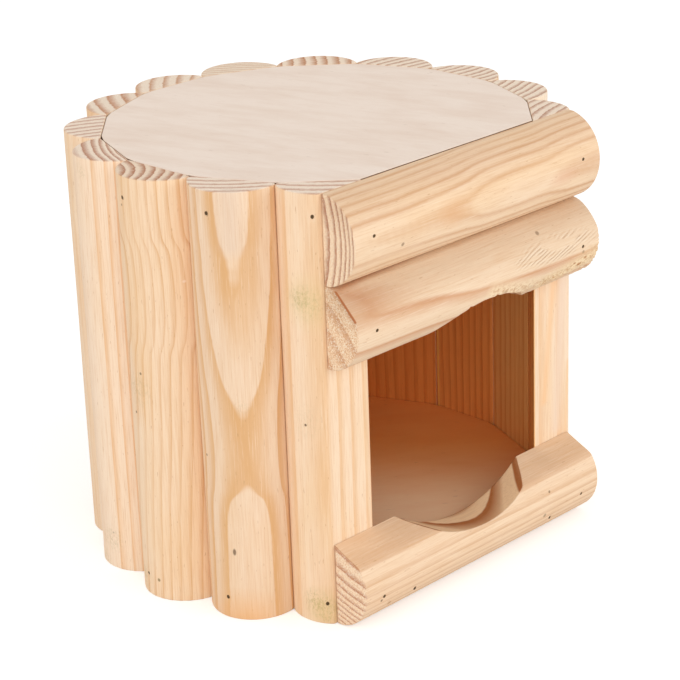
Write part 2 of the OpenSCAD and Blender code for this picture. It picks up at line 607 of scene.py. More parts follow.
class WoodGraph(Graph):
    """The graph of a wooden piece, read in the piece's own directions."""

    def __init__(self, name: str, placement: Placement, seed: float = 0.0) -> None:
        """Starts the material.

        Args:
            name: Its name.
            placement: Where the piece lies.
            seed: What sets its noises apart.
        """
        super().__init__(name)
        self.place = self.coordinates(placement)
        self.seed = seed
        self.spreads: dict[Noise, Socket] = {}

    def spread(self, noise: Noise, colour: bool = False) -> Socket:
        """A noise at each point of the wood. Each noise is made once in a material.

        Args:
            noise: The noise.
            colour: Whether three values are wanted in place of one.

        Returns:
            The noise's value.
        """
        if noise not in self.spreads:
            shift = tuple(s + self.seed * part for s, part in zip(noise.spot, noise.seeded))
            where = self.scaled(self.place, noise.cells, shift)
            self.spreads[noise] = self.noise(where, noise.detail, noise.rough, colour)
        return self.spreads[noise]

    def laid(self, under: Socket, layers: tuple[Layer, ...]) -> Socket:
        """Lays layers over a colour.

        Args:
            under: The colour.
            layers: The layers in order.

        Returns:
            The colour with the layers on it.
        """
        for layer in layers:
            amount = self.fade(self.spread(layer.noise), layer.empty, layer.full, layer.strength)
            under = self.over(amount, under, layer.colour)
        return under

    def wood(self, colour: Socket, roughness: float) -> None:
        """Dresses the shader as bare wood of this colour and roughness."""
        self.dress(Base_Color=colour, Roughness=roughness, Specular_IOR_Level=WOOD_SHINE)


class MarkKind(Enum):
    """How a mark on the wood looks."""

    DIRT = "dirt"
    STAIN = "stain"
    DOT = "dot"
    # Painted shade, which darkens the colour under it.
    PAINTED_SHADE = "painted_shade"


@dataclass(frozen=True)
class Mark:
    """A mark on a bar's surface: place (across, out, along), radius, strength, kind and colour.

    Dirt is a broken cloud, a stain fades smoothly, a dot has a plain edge, and painted shade darkens what
    is under it, standing in for the weaker light on faces that look up. A mark is stretched along the grain
    by stretch, and drawn out into a line as far as the vector line.
    """

    place: Point
    radius: float
    strength: float
    kind: MarkKind = MarkKind.DIRT
    colour: Rgb = (178, 160, 104)
    stretch: float = 1.0
    line: Point | None = None


@dataclass(frozen=True)
class Tear:
    """Short slanting tears that a blunt cutter left, as far as reach (along, across) from place.

    slope is how many are crossed in a millimetre (across, along). Each has a bottom darkened by painted
    shadow and, fray of the spacing beside it, a raised edge with a painted highlight. Its depth is a share
    of the wood's bump.
    """

    place: Point
    reach: tuple[float, float]
    slope: tuple[float, float] = (1.0, 0.33)
    fray: float = 0.4
    # dark is the painted shadow in each tear's bottom and pale the painted highlight on its raised edge; the
    # two shares below set how strongly each is laid on.
    dark: Rgb = (212, 160, 114)
    pale: Rgb = (255, 238, 216)
    shadow_share: float = 0.45
    highlight_share: float = 0.5
    depth: float = 2.5


@dataclass(frozen=True)
class Growth:
    """How a bar was sawn out of the trunk, which draws its rings.

    The pith is at (pith_across, pith_out) in the bar's own section. The rings are ring millimetres wide at
    the bar's middle, and change by the share taper for each millimetre outwards. rise lists (place along,
    rings): how many rings the bar's middle has climbed there. sway lists (place along, millimetres): how
    far the pith has moved across there. wave is how far slow noise bends the rings, shift moves them and
    uneven makes their widths differ, both in rings. late_share and end_share are the dark parts of a ring
    on the faces and on the ends, and edge is the part over which the dark ends.
    """

    pith_across: float
    pith_out: float
    ring: float
    late_share: float = 0.4
    taper: float = 0.0
    rise: Curve = ()
    sway: Curve = ()
    wave: float = 0.5
    shift: float = 0.0
    uneven: float = 0.3
    edge: float = 0.05
    end_share: float = 0.45


@dataclass(frozen=True)
class PineFinish:
    """Bare planed pine, worked out through the solid so that faces and end grain agree.

    contrast, fibre and speckle are the strengths of the rings, of the fibres and of their cut ends, and
    warm_share that of the warm patches. The inner side's colour is multiplied by shade, a painted shade
    that darkens and reddens it as the dim light inside the house would.
    """

    name: str
    growth: Growth
    seed: float
    early: Rgb = (250, 222, 190)
    late: Rgb = (238, 196, 150)
    end_early: Rgb = (252, 230, 208)
    end_late: Rgb = (202, 146, 106)
    warm: Rgb = (243, 194, 142)
    warm_share: float = 0.4
    contrast: float = 0.8
    speckle: float = 0.22
    fibre: float = 0.45
    # Painted shade: multiplies the inner side's colour, standing in for the dim, warm light inside the
    # house.
    shade: Point = (0.97, 0.8, 0.6)
    marks: tuple[Mark, ...] = ()
    tear: Tear | None = None

    def ring_count(self, graph: WoodGraph) -> Socket:
        """How many growth rings lie between the start of the first and each point.

        The distance from the pith is bent by slow noise, and less the distance at the bar's middle it is
        far. The count is far / ring x (1 + taper x far / 2) + rise + shift, uneven by a slow noise of far.

        Args:
            graph: The material's graph.

        Returns:
            The count. Its remainder goes from 0 at the start of the early wood to 1 at the late wood's end.
        """
        growth = self.growth
        slow = graph.scaled(graph.spread(BEND, True), (2 * growth.wave,) * 3, (-growth.wave,) * 3)
        across, out, along = graph.split(graph.vector("ADD", graph.place, slow))
        side = graph.minus(graph.minus(across, growth.pith_across), graph.curve(along, growth.sway))
        height = graph.minus(out, growth.pith_out)
        radius = graph.maths("SQRT", graph.plus(graph.times(side, side), graph.times(height, height)))
        far = graph.minus(radius, math.hypot(growth.pith_across, BAR_MIDDLE - growth.pith_out))
        spot = graph.tree.nodes.new("ShaderNodeCombineXYZ")
        graph.put(spot.inputs[0], far)
        spot.inputs[1].default_value = self.seed * UNEVEN_SEED
        uneven = graph.noise(graph.scaled(spot.outputs[0], (UNEVEN_CELLS / growth.ring, 1, 1)), 1.0)
        count = graph.times(graph.maths("DIVIDE", far, growth.ring), graph.line(far, growth.taper / 2, 1.0))
        count = graph.plus(count, graph.line(uneven, 2 * growth.uneven, growth.shift - growth.uneven))
        return graph.plus(count, graph.curve(along, growth.rise))

    def rings(self, graph: WoodGraph) -> tuple[Socket, Socket]:
        """The late wood of each growth ring, of differing strength from ring to ring.

        On a face the ring stays pale through the early wood, darkens up to its edge and is pale again there.
        On the ends the rings are ragged and have a plain dark line.

        Args:
            graph: The material's graph.

        Returns:
            The late wood's share on a face from 0 to 1, and the same on the end grain.
        """
        growth = self.growth
        count = self.ring_count(graph)
        start = 1 - growth.late_share
        late = graph.ramp(graph.maths("FRACT", count),
                          [(0.0, 0.1), (growth.edge / 2, 0.0), (start * 0.75, 0.05),
                           (start + growth.late_share * 0.45, 0.7), (1 - growth.edge, 1.0), (1.0, 0.1)])
        ragged = graph.spread(RAGGED)
        part = graph.maths("FRACT", graph.line(ragged, RAGGED_REACH, graph.minus(count, RAGGED_REACH / 2)))
        end_late = graph.ramp(part, [(0.0, 0.3), (0.05, 0.0), (0.9 - growth.end_share, 0.0),
                                     (1 - growth.end_share * 0.6, 0.6), (0.94, 1.0), (1.0, 0.3)])
        chosen = graph.tree.nodes.new("ShaderNodeTexWhiteNoise")
        chosen.noise_dimensions = "1D"
        graph.put(chosen.inputs["W"], graph.plus(graph.maths("FLOOR", count), self.seed))
        strength = graph.line(chosen.outputs["Value"], 0.4, 0.7)
        return graph.times(late, strength), graph.times(end_late, graph.line(ragged, 0.5, 0.7), clamp=True)

    def make(self, placement: Placement) -> bpy.types.Material:
        """Builds the material for a bar that lies at placement.

        Args:
            placement: The bar's placement.

        Returns:
            The material.
        """
        graph = WoodGraph(self.name, placement, self.seed)
        late, end_late = self.rings(graph)
        late = graph.times(late, graph.line(graph.spread(PATCH), 0.8, 0.6))
        late = graph.times(late, self.contrast, clamp=True)
        colour = graph.laid(graph.mix(late, linear(self.early), linear(self.late)),
                            (Layer(GLOW, 0.42, 0.72, self.warm_share, self.warm),
                             Layer(BLUSH, 0.45, 0.7, 0.2, (248, 218, 190)),
                             Layer(FIBRE, 0.52, 0.3, self.fibre, (222, 174, 126)),
                             Layer(FIBRE, 0.55, 0.72, self.fibre, (254, 232, 206)),
                             Layer(FLECK, 0.72, 0.77, 0.5, (196, 146, 98))))
        end_colour = graph.laid(graph.mix(end_late, linear(self.end_early), linear(self.end_late)),
                                (Layer(END_FIBRE, 0.5, 0.38, self.speckle, (214, 160, 118)),
                                 Layer(END_FIBRE, 0.52, 0.62, self.speckle, (255, 242, 222))))
        colour = graph.mix(graph.attribute("end_grain"), colour, end_colour)
        sawn = graph.mix(graph.ramp(late, [(0.0, 0.0), (0.3, 0.5), (0.85, 1.0)]), linear((252, 216, 172)),
                         linear((176, 108, 60)))
        sawn = graph.laid(sawn, (Layer(FIBRE, 0.52, 0.3, 0.6 * self.fibre, (196, 140, 92)),))
        colour = graph.mix(graph.attribute("sawn"), colour, sawn)
        # Painted shade on the inner side: its colour is multiplied by shade, and its late wood is laid over
        # in deep orange, for the dim, warm light inside the house.
        inside = graph.mix(1.0, colour, (*self.shade, 1.0), "MULTIPLY")
        inside = graph.over(graph.times(late, 0.6, clamp=True), inside, (206, 120, 52))
        colour = graph.mix(graph.attribute("inside"), colour, inside)
        for mark in self.marks:
            colour = self.marked(graph, mark, colour)
        relief = graph.line(late, 0.2, graph.spread(FIBRE))
        if self.tear is not None:
            tear = self.tear
            # Each tear gets painted shadow in its bottom and a painted highlight on the raised edge beside
            # it, as well as its bump.
            rip, highlight_edge = self.torn(graph, tear, 0.0), self.torn(graph, tear, tear.fray)
            colour = graph.over(graph.times(rip, tear.shadow_share), colour, tear.dark)
            colour = graph.over(graph.times(highlight_edge, tear.highlight_share), colour, tear.pale)
            relief = graph.minus(relief, graph.times(rip, tear.depth))
        graph.wood(colour, 0.62)
        rough_end = graph.times(graph.times(graph.spread(END_FIBRE), 3.0), graph.attribute("end_grain"))
        graph.bump(graph.plus(relief, rough_end), 0.06)
        return graph.material

    @staticmethod
    def marked(graph: WoodGraph, mark: Mark, colour: Socket) -> Socket:
        """Lays one mark over a colour. It fades with the distance from its place, as its kind says.

        Args:
            graph: The material's graph.
            mark: The mark.
            colour: The colour under it.

        Returns:
            The colour with the mark on it.
        """
        aside = graph.vector("SUBTRACT", graph.place, mark.place)
        aside = graph.vector("MULTIPLY", aside, (1, 1, 1 / mark.stretch))
        if mark.line is not None:
            length = math.hypot(*mark.line)
            share = graph.vector("DOT_PRODUCT", aside, mark.line)
            share = graph.maths("DIVIDE", share, length**2, clamp=True)
            foot = graph.tree.nodes.new("ShaderNodeVectorMath")
            foot.operation = "SCALE"
            foot.inputs[0].default_value = mark.line
            graph.put(foot.inputs["Scale"], share)
            aside = graph.vector("SUBTRACT", aside, foot.outputs[0])
        away = graph.maths("DIVIDE", graph.vector("LENGTH", aside), mark.radius)
        near = graph.minus(1.0, away, clamp=True)
        if mark.kind is MarkKind.DIRT:
            cloud = Noise((1.3, 1.3, 0.8), (mark.radius, 2, 4), detail=4.0, rough=0.8)
            amount = graph.times(near, graph.fade(graph.spread(cloud), 0.45, 0.7))
            amount = graph.times(amount, mark.strength * 1.5, clamp=True)
        else:
            full = DOT_EDGE if mark.kind is MarkKind.DOT else STAIN_EDGE
            amount = graph.fade(near, 0.0, full, mark.strength)
        # Painted shade multiplies the colour under it; the other kinds are mixed over it.
        return graph.over(amount, colour, mark.colour, "MULTIPLY" if mark.kind is MarkKind.PAINTED_SHADE else "MIX")

    @staticmethod
    def torn(graph: WoodGraph, tear: Tear, shift: float) -> Socket:
        """Slanting dashes: stripes across the slant, cut short by noise and kept within the tear's reach.

        The stripes are counted by slope along x along - slope across x across + shift, bent by slow noise.

        Args:
            graph: The material's graph.
            tear: Where the tears lie and how they slant.
            shift: Share of the spacing by which the stripes are moved.

        Returns:
            How far a point is torn, 0 to 1.
        """
        far = graph.vector("DIVIDE", graph.vector("SUBTRACT", graph.place, tear.place),
                           (tear.reach[1], TEAR_THROUGH, tear.reach[0]))
        near = graph.fade(graph.vector("LENGTH", far), 1.0, 0.6)
        across, _, along = graph.split(graph.place)
        slant = graph.minus(graph.line(along, tear.slope[1], graph.spread(TEAR_BEND)),
                            graph.line(across, tear.slope[0], -shift))
        stripe = graph.ramp(graph.maths("FRACT", slant), [(0.0, 0.0), (0.3, 1.0), (0.42, 0.0)])
        broken = graph.fade(graph.spread(TEAR_BREAK), 0.46, 0.56)
        return graph.times(graph.times(stripe, broken), near)


@dataclass(frozen=True)
class PlywoodFinish:
    """Sanded plywood with a pale close-grained face and plies on its edge, each ply millimetres thick."""

    name: str
    grain_angle: float
    face: Rgb = (250, 232, 217)
    streak: Rgb = (238, 214, 195)
    # Colours of the plies on the edge, drawn dark partly as dirt and partly as painted shade, since the edge
    # shows only in the seams.
    dirty_shaded_edge_pale: Rgb = (128, 92, 64)
    dirty_shaded_edge_dark: Rgb = (76, 52, 34)
    # Painted shade: multiplies the colour of the side that faces into the house.
    inside: Rgb = (255, 200, 130)
    ply: float = 1.5

    def make(self, start: Point) -> bpy.types.Material:
        """Builds the material.

        Args:
            start: The middle of the board's foot, in millimetres.

        Returns:
            The material.
        """
        cos, sin = math.cos(self.grain_angle), math.sin(self.grain_angle)
        graph = WoodGraph(self.name, Placement((-sin, cos, 0), (0, 0, 1), (cos, sin, 0), start))
        figure = graph.fade(graph.spread(BOARD_FIGURE), 0.4, 0.75, 0.7)
        colour = graph.laid(graph.mix(figure, linear(self.face), linear(self.streak)),
                            (Layer(BOARD_PORES, 0.56, 0.72, 0.5, self.streak),
                             Layer(BOARD_FLECK, 0.74, 0.8, 0.45, (201, 176, 156))))
        # The edge's plies, darkened partly as dirt and partly as painted shade in the seams.
        turn = graph.maths("PINGPONG", graph.split(graph.place)[1], self.ply)
        plies = graph.mix(graph.fade(graph.maths("DIVIDE", turn, self.ply), 0.42, 0.58),
                          linear(self.dirty_shaded_edge_pale), linear(self.dirty_shaded_edge_dark))
        colour = graph.mix(graph.attribute("end_grain"), colour, plies)
        # Painted shade on the side that faces into the house.
        inside = graph.over(1.0, colour, self.inside, "MULTIPLY")
        colour = graph.mix(graph.attribute("inside"), colour, inside)
        graph.wood(colour, 0.6)
        graph.bump(graph.plus(graph.spread(BOARD_PORES), graph.spread(BOARD_FIGURE)), 0.025)
        return graph.material


@dataclass(frozen=True)
class BradFinish:
    """Dull darkened steel wire."""

    name: str = "brad_steel"
    dark: Rgb = (66, 50, 32)
    bright: Rgb = (116, 94, 66)
    cells: Point = (4000, 4000, 4000)

    def make(self) -> bpy.types.Material:
        """Builds the material.

        Returns:
            The material.
        """
        graph = Graph(self.name)
        source = graph.tree.nodes.new("ShaderNodeTexCoord").outputs["Object"]
        grain = graph.noise(graph.scaled(source, self.cells))
        graph.dress(Base_Color=graph.mix(grain, linear(self.dark), linear(self.bright)),
                    Roughness=graph.ramp(grain, [(0.3, 0.4), (0.7, 0.6)]), Metallic=0.7)
        return graph.material


class Surface:
    """A closed surface made of rings of points, with a pole at each end."""

    def __init__(self, name: str, rings: np.ndarray, shares: dict[str, np.ndarray]) -> None:
        """Keeps what the surface is made of.

        Args:
            name: Name of the piece.
            rings: Points (ring, point, 3) in metres.
            shares: Shares (ring, point) that materials read, by name.
        """
        self.name = name
        self.rings = rings
        self.shares = shares

    def faces(self) -> tuple[np.ndarray, np.ndarray]:
        """Works out the faces, which all face outwards.

        Returns:
            Quads between neighbouring rings and triangles at the poles.
        """
        count, points = self.rings.shape[:2]
        ring = np.arange(count - 1)[:, None]
        here = np.arange(points)[None, :]
        after = (here + 1) % points
        quads = np.stack([ring * points + here, ring * points + after,
                          (ring + 1) * points + after, (ring + 1) * points + here], -1).reshape(-1, 4)
        first, last = count * points, count * points + 1
        top = (count - 1) * points
        start = np.stack([np.full(points, first), after[0], here[0]], -1)
        end = np.stack([np.full(points, last), top + here[0], top + after[0]], -1)
        return quads, np.concatenate([start, end])

    def build(self, material: bpy.types.Material, node: str, slot: str) -> bpy.types.Object:
        """Makes the piece, dresses it and puts it in its node's place.

        Args:
            material: The piece's material.
            node: The CAD node that it stands for.
            slot: The record's material slot; not used.

        Returns:
            The piece.
        """
        quads, triangles = self.faces()
        poles = np.stack([self.rings[0].mean(0), self.rings[-1].mean(0)])
        points = np.concatenate([self.rings.reshape(-1, 3), poles]).astype(np.float32)
        loops = np.concatenate([quads.ravel(), triangles.ravel()]).astype(np.int32)
        starts = np.concatenate([np.arange(len(quads)) * 4, len(quads) * 4 + np.arange(len(triangles)) * 3])
        mesh = bpy.data.meshes.new(self.name)
        mesh.vertices.add(len(points))
        mesh.vertices.foreach_set("co", points.ravel())
        mesh.loops.add(len(loops))
        mesh.loops.foreach_set("vertex_index", loops)
        mesh.polygons.add(len(starts))
        mesh.polygons.foreach_set("loop_start", starts.astype(np.int32))
        mesh.polygons.foreach_set("use_smooth", np.ones(len(starts), dtype=bool))
        mesh.update(calc_edges=True)
        mesh.validate()
        for label, share in self.shares.items():
            poles = [share[0].mean(keepdims=True), share[-1].mean(keepdims=True)]
            values = np.concatenate([share.ravel(), *poles]).astype(np.float32)
            mesh.attributes.new(label, "FLOAT", "POINT").data.foreach_set("value", values)
        piece = bpy.data.objects.new(self.name, mesh)
        bpy.context.scene.collection.objects.link(piece)
        mesh.materials.append(material)
        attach(piece, BODY)
        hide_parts(node)
        LOG.info("%s: %d faces for %s", self.name, len(mesh.polygons), node)
        return piece


def easing(radius: float) -> np.ndarray:
    """Distances from an end at which an eased edge of this radius gets a section or a ring."""
    return radius * (1 - np.cos(np.linspace(0, np.pi / 2, EASE_POINTS)))


@dataclass
class HalfRoundBar:
    """A bar of half-round moulding, carried along its grain, with eased ends and sunken brad holes.

    Its flat back is width across, its crown thick and its square edges land high, and it runs from low to
    high along the grain, all in millimetres. It stands for the CAD node and has the record's slot.

    Attributes:
        brads: Places (across, along) of the brads that show on the bow.
        seed: What sets the bar's waves apart from the others'.
        step: Distance between two sections.
        crown_step: Distance between two points of a section's bow.
        ease: Radius of the worn edge round each end.
        hole_radius: Radius of the hole over a brad's head.
        hole_depth: Depth of that hole.
        flare: How far the bow's edges spread, which closes the seams between slats.
    """

    name: str
    node: str
    slot: str
    width: float
    thick: float
    land: float
    low: float
    high: float
    placement: Placement
    finish: PineFinish
    brads: list[tuple[float, float]] = field(default_factory=list)
    seed: int = 1
    step: float = 1.6
    crown_step: float = 0.42
    ease: float = 0.35
    hole_radius: float = 0.4
    hole_depth: float = 0.55
    flare: float = 0.33

    @property
    def radius(self) -> float:
        """Radius of the bow."""
        return bow_radius(self.width, self.thick, self.land)

    def bow(self, across: np.ndarray) -> np.ndarray:
        """Height of the bow at positions across."""
        return bow_depth(across, self.width, self.thick, self.land)

    def stations(self) -> np.ndarray:
        """Places the sections, closer near the ends and the brads.

        Returns:
            Positions along the grain.
        """
        ends = easing(self.ease)
        places = [b[1] for b in self.brads]
        middle = with_clusters(self.low + self.ease, self.high - self.ease, self.step, places)
        return np.concatenate([self.low + ends[:-1], middle, (self.high - ends[::-1])[1:]])

    def crown_positions(self) -> np.ndarray:
        """Places the points of the bow, evenly spaced along its curve.

        Returns:
            Positions across, from one edge to the other.
        """
        reach = math.asin(self.width / 2 / self.radius) * self.radius
        brads = [math.asin(b[0] / self.radius) * self.radius for b in self.brads]
        return self.radius * np.sin(with_clusters(-reach, reach, self.crown_step, brads) / self.radius)

    def sections(self, along: np.ndarray) -> np.ndarray:
        """Outlines (station, point, 2) of the bar, anticlockwise from the start of its flat back.

        Args:
            along: Positions along the grain.

        Returns:
            The outline of each section as (across, out).
        """
        half = self.width / 2
        back = np.stack([np.linspace(-half, half, BACK_POINTS), np.zeros(BACK_POINTS)], -1)
        rise = np.linspace(0, self.land, LAND_POINTS)[1:-1]
        right = np.stack([half + self.flare * rise / self.land, rise], -1)
        crown = self.crown_positions()[::-1]
        bow = np.stack([self.flared(crown), self.bow(crown)], -1)
        left = right[::-1] * np.array([-1.0, 1.0])
        outline = np.concatenate([back, right, bow, left])
        return np.repeat(outline[None], len(along), 0)

    def flared(self, crown: np.ndarray) -> np.ndarray:
        """The bow's positions, spread at its edges by flare x (position / half the width) to the eighth."""
        return crown + np.sign(crown) * self.flare * (np.abs(crown) / (self.width / 2)) ** 8

    def soften(self, outline: np.ndarray) -> np.ndarray:
        """Rounds the corners by averaging each point with its two neighbours, twice.

        Args:
            outline: The outlines (station, point, 2).

        Returns:
            The rounded outlines.
        """
        for _ in range(2):
            outline = 0.5 * outline + 0.25 * (np.roll(outline, 1, 1) + np.roll(outline, -1, 1))
        return outline

    def normals(self, outline: np.ndarray) -> np.ndarray:
        """Works out the outward directions: the tangent turned clockwise by a quarter.

        Args:
            outline: The outlines (station, point, 2).

        Returns:
            A unit vector for each point.
        """
        tangent = np.roll(outline, -1, 1) - np.roll(outline, 1, 1)
        normal = np.stack([tangent[..., 1], -tangent[..., 0]], -1)
        return normal / np.maximum(np.linalg.norm(normal, axis=-1, keepdims=True), TINY)

    def relief(self, across: np.ndarray, out: np.ndarray, along: np.ndarray) -> np.ndarray:
        """How far the surface stands below the true shape: slow waves and planer ripples.

        They come in above the square edges. The ripple is
        RIPPLE x (1 + sin(RIPPLE_TURNS x along + RIPPLE_SKEW x across + seed)).

        Args:
            across: Positions across.
            out: Heights above the back.
            along: Positions along the grain.

        Returns:
            Depths in millimetres, never negative, so that the bar stays inside its true shape.
        """
        slow = WAVE * (1 + soft_noise(across / 9 + 20, along / 34 + self.seed, self.seed))
        ripple = RIPPLE * (1 + np.sin(along * RIPPLE_TURNS + RIPPLE_SKEW * across + self.seed))
        return SKIN + (slow + ripple) * smooth_step(out, 0.8, 2.6)

    def brad_holes(self, across: np.ndarray, along: np.ndarray) -> np.ndarray:
        """Depth of the brad holes: a steep hole over each brad's head, with a shallow dent round it.

        A hole is a smooth step down over its rim, its dent DENT x exp(-(distance / DENT_REACH) squared).

        Args:
            across: Positions across.
            along: Positions along the grain.

        Returns:
            Depths in millimetres.
        """
        depth = np.zeros_like(across)
        for side, place in self.brads:
            far = np.hypot(across - side, (along - place) * HOLE_SQUASH)
            rim = smooth_step(far, self.hole_radius - 0.08, self.hole_radius + 0.12)
            dent = DENT * np.exp(-((far / DENT_REACH) ** 2))
            depth = np.maximum(depth, self.hole_depth * (1 - rim) + dent)
        return depth

    def end_share(self, outline: np.ndarray, along: np.ndarray) -> np.ndarray:
        """Share of end grain over the body: none, but for the worn edge at each end."""
        distance = np.minimum(along - self.low, self.high - along)
        return np.repeat(np.where(distance < self.ease * 0.4, 0.7, 0.0)[:, None], outline.shape[1], 1)

    def inside_share(self, outline: np.ndarray, along: np.ndarray) -> np.ndarray:
        """Share of the flat back that faces the room in the house, lost close to the ends."""
        distance = np.minimum(along - self.low, self.high - along)
        # The painted shade of the inner side follows this share. The share also reaches the foot of the
        # square edges, so it darkens the seams between slats.
        return smooth_step(outline[..., 1], 0.5, 0.2) * smooth_step(distance, 0.5, 1.6)[:, None]

    def sawn_share(self, outline: np.ndarray, along: np.ndarray) -> np.ndarray:
        """Share of the body that was sawn through at a slant: none of a plain bar."""
        return np.zeros(outline.shape[:2])

    def rings(self) -> tuple[np.ndarray, dict[str, np.ndarray]]:
        """The bar's rings in its own frame, and their shares of end grain, inner side and slanting cut.

        Towards the ends each section shrinks about its middle by the eased edge
        ease - sqrt(ease squared - (ease - distance) squared), and the body is pushed in by the relief.
        Each end is closed by rings that shrink to a pole.

        Returns:
            The rings (ring, point, 3) in millimetres, and the shares (ring, point) by name.
        """
        along = self.stations()
        outline = self.soften(self.sections(along))
        normal = self.normals(outline)
        place = np.repeat(along[:, None], outline.shape[1], 1)
        shares = {"end_grain": self.end_share(outline, along), "inside": self.inside_share(outline, along),
                  "sawn": self.sawn_share(outline, along)}
        distance = np.minimum(along - self.low, self.high - along)
        reach = np.clip(self.ease - distance, 0, self.ease)
        eased = self.ease - np.sqrt(self.ease**2 - reach**2)
        push = self.relief(outline[..., 0], outline[..., 1], place)
        outline = outline - normal * push[..., None]
        on_bow = outline[..., 1] > self.land
        outline[..., 1] -= np.where(on_bow, self.brad_holes(outline[..., 0], place), 0)
        middle = (outline.max(1, keepdims=True) + outline.min(1, keepdims=True)) / 2
        half = (outline.max(1, keepdims=True) - outline.min(1, keepdims=True)) / 2
        outline = middle + (outline - middle) * (1 - eased[:, None, None] / half)
        body = np.concatenate([outline, place[..., None]], -1)
        start = self.cap(body[0])
        rings = np.concatenate([start, body, self.cap(body[-1])[::-1]])
        whole = np.ones(start.shape[:2])
        for label, share in shares.items():
            end = whole if label == "end_grain" else 0 * whole
            shares[label] = np.concatenate([end, share, end])
        return rings, shares

    @staticmethod
    def cap(rim: np.ndarray) -> np.ndarray:
        """Rings that shrink from an end's rim towards its middle."""
        middle = rim.mean(0)
        return middle + (rim - middle)[None] * CAP_SCALES[:, None, None]

    def build(self) -> bpy.types.Object:
        """Makes the piece.

        Returns:
            The piece.
        """
        rings, shares = self.rings()
        surface = Surface(self.name, self.placement.to_house(rings), shares)
        return surface.build(self.finish.make(self.placement), self.node, self.slot)


@dataclass
class JambSlat(HalfRoundBar):
    """A slat whose front corner is planed off along the front plane, which makes a door jamb.

    Attributes:
        cut_normal: Direction (across, out) that points out of the planed face.
        cut_reach: Distance of the planed face from the start of the slat's frame along that direction.
    """

    crown_step: float = 0.4
    cut_normal: tuple[float, float] = (0.7, 0.7)
    cut_reach: float = 7.0

    def sections(self, along: np.ndarray) -> np.ndarray:
        """Outlines of the slat, cut off by the plane cut_normal . (across, out) = cut_reach.

        The slat is drawn with its cut on the positive side, and turned over if the cut is on the other.

        Args:
            along: Positions along the grain.

        Returns:
            The outline of each section as (across, out).
        """
        half = self.width / 2
        crown = self.crown_positions()
        depth = self.bow(crown)
        inside = abs(self.cut_normal[0]) * crown + self.cut_normal[1] * depth <= self.cut_reach
        crown, depth = crown[inside], depth[inside]
        corner = self.cut_reach / abs(self.cut_normal[0])
        last = crown.max()
        back = np.stack([np.linspace(-half, corner, JAMB_BACK_POINTS), np.zeros(JAMB_BACK_POINTS)], -1)
        share = np.linspace(0, 1, JAMB_FACE_POINTS)[1:-1, None]
        face = np.array([corner, 0.0]) * (1 - share) + np.array([last, self.bow(last)]) * share
        bow = np.stack([np.where(crown < 0, self.flared(crown), crown)[::-1], depth[::-1]], -1)
        rise = np.linspace(0, self.land, LAND_POINTS)[1:-1][::-1]
        left = np.stack([-half - self.flare * rise / self.land, rise], -1)
        outline = np.concatenate([back, face, bow, left])
        if self.cut_normal[0] < 0:
            outline = outline[::-1] * np.array([-1.0, 1.0])
        return np.repeat(outline[None], len(along), 0)

    def crown_positions(self) -> np.ndarray:
        """Places the points of the bow as far as the planed face.

        Returns:
            Positions across, mirrored where the cut is on the left.
        """
        low = -math.asin(self.width / 2 / self.radius) * self.radius
        turned = math.copysign(1.0, self.cut_normal[0])
        brads = [math.asin(turned * b[0] / self.radius) * self.radius for b in self.brads]
        high = self.edge_angle() * self.radius
        return self.radius * np.sin(with_clusters(low, high, self.crown_step, brads) / self.radius)

    def edge_angle(self) -> float:
        """Finds where on the bow the planed face begins, among close steps.

        Returns:
            The angle there.
        """
        angles = np.linspace(-1.2, 1.2, BOW_STEPS)
        side = self.radius * np.sin(angles)
        out = self.thick - self.radius + self.radius * np.cos(angles)
        value = abs(self.cut_normal[0]) * side + self.cut_normal[1] * out - self.cut_reach
        return float(angles[np.argmax(value > 0)] - JUST_INSIDE)


class RailCut(Enum):
    """What is sawn out of a rail."""

    NONE = "none"
    ARCH = "arch"
    SCOOP = "scoop"


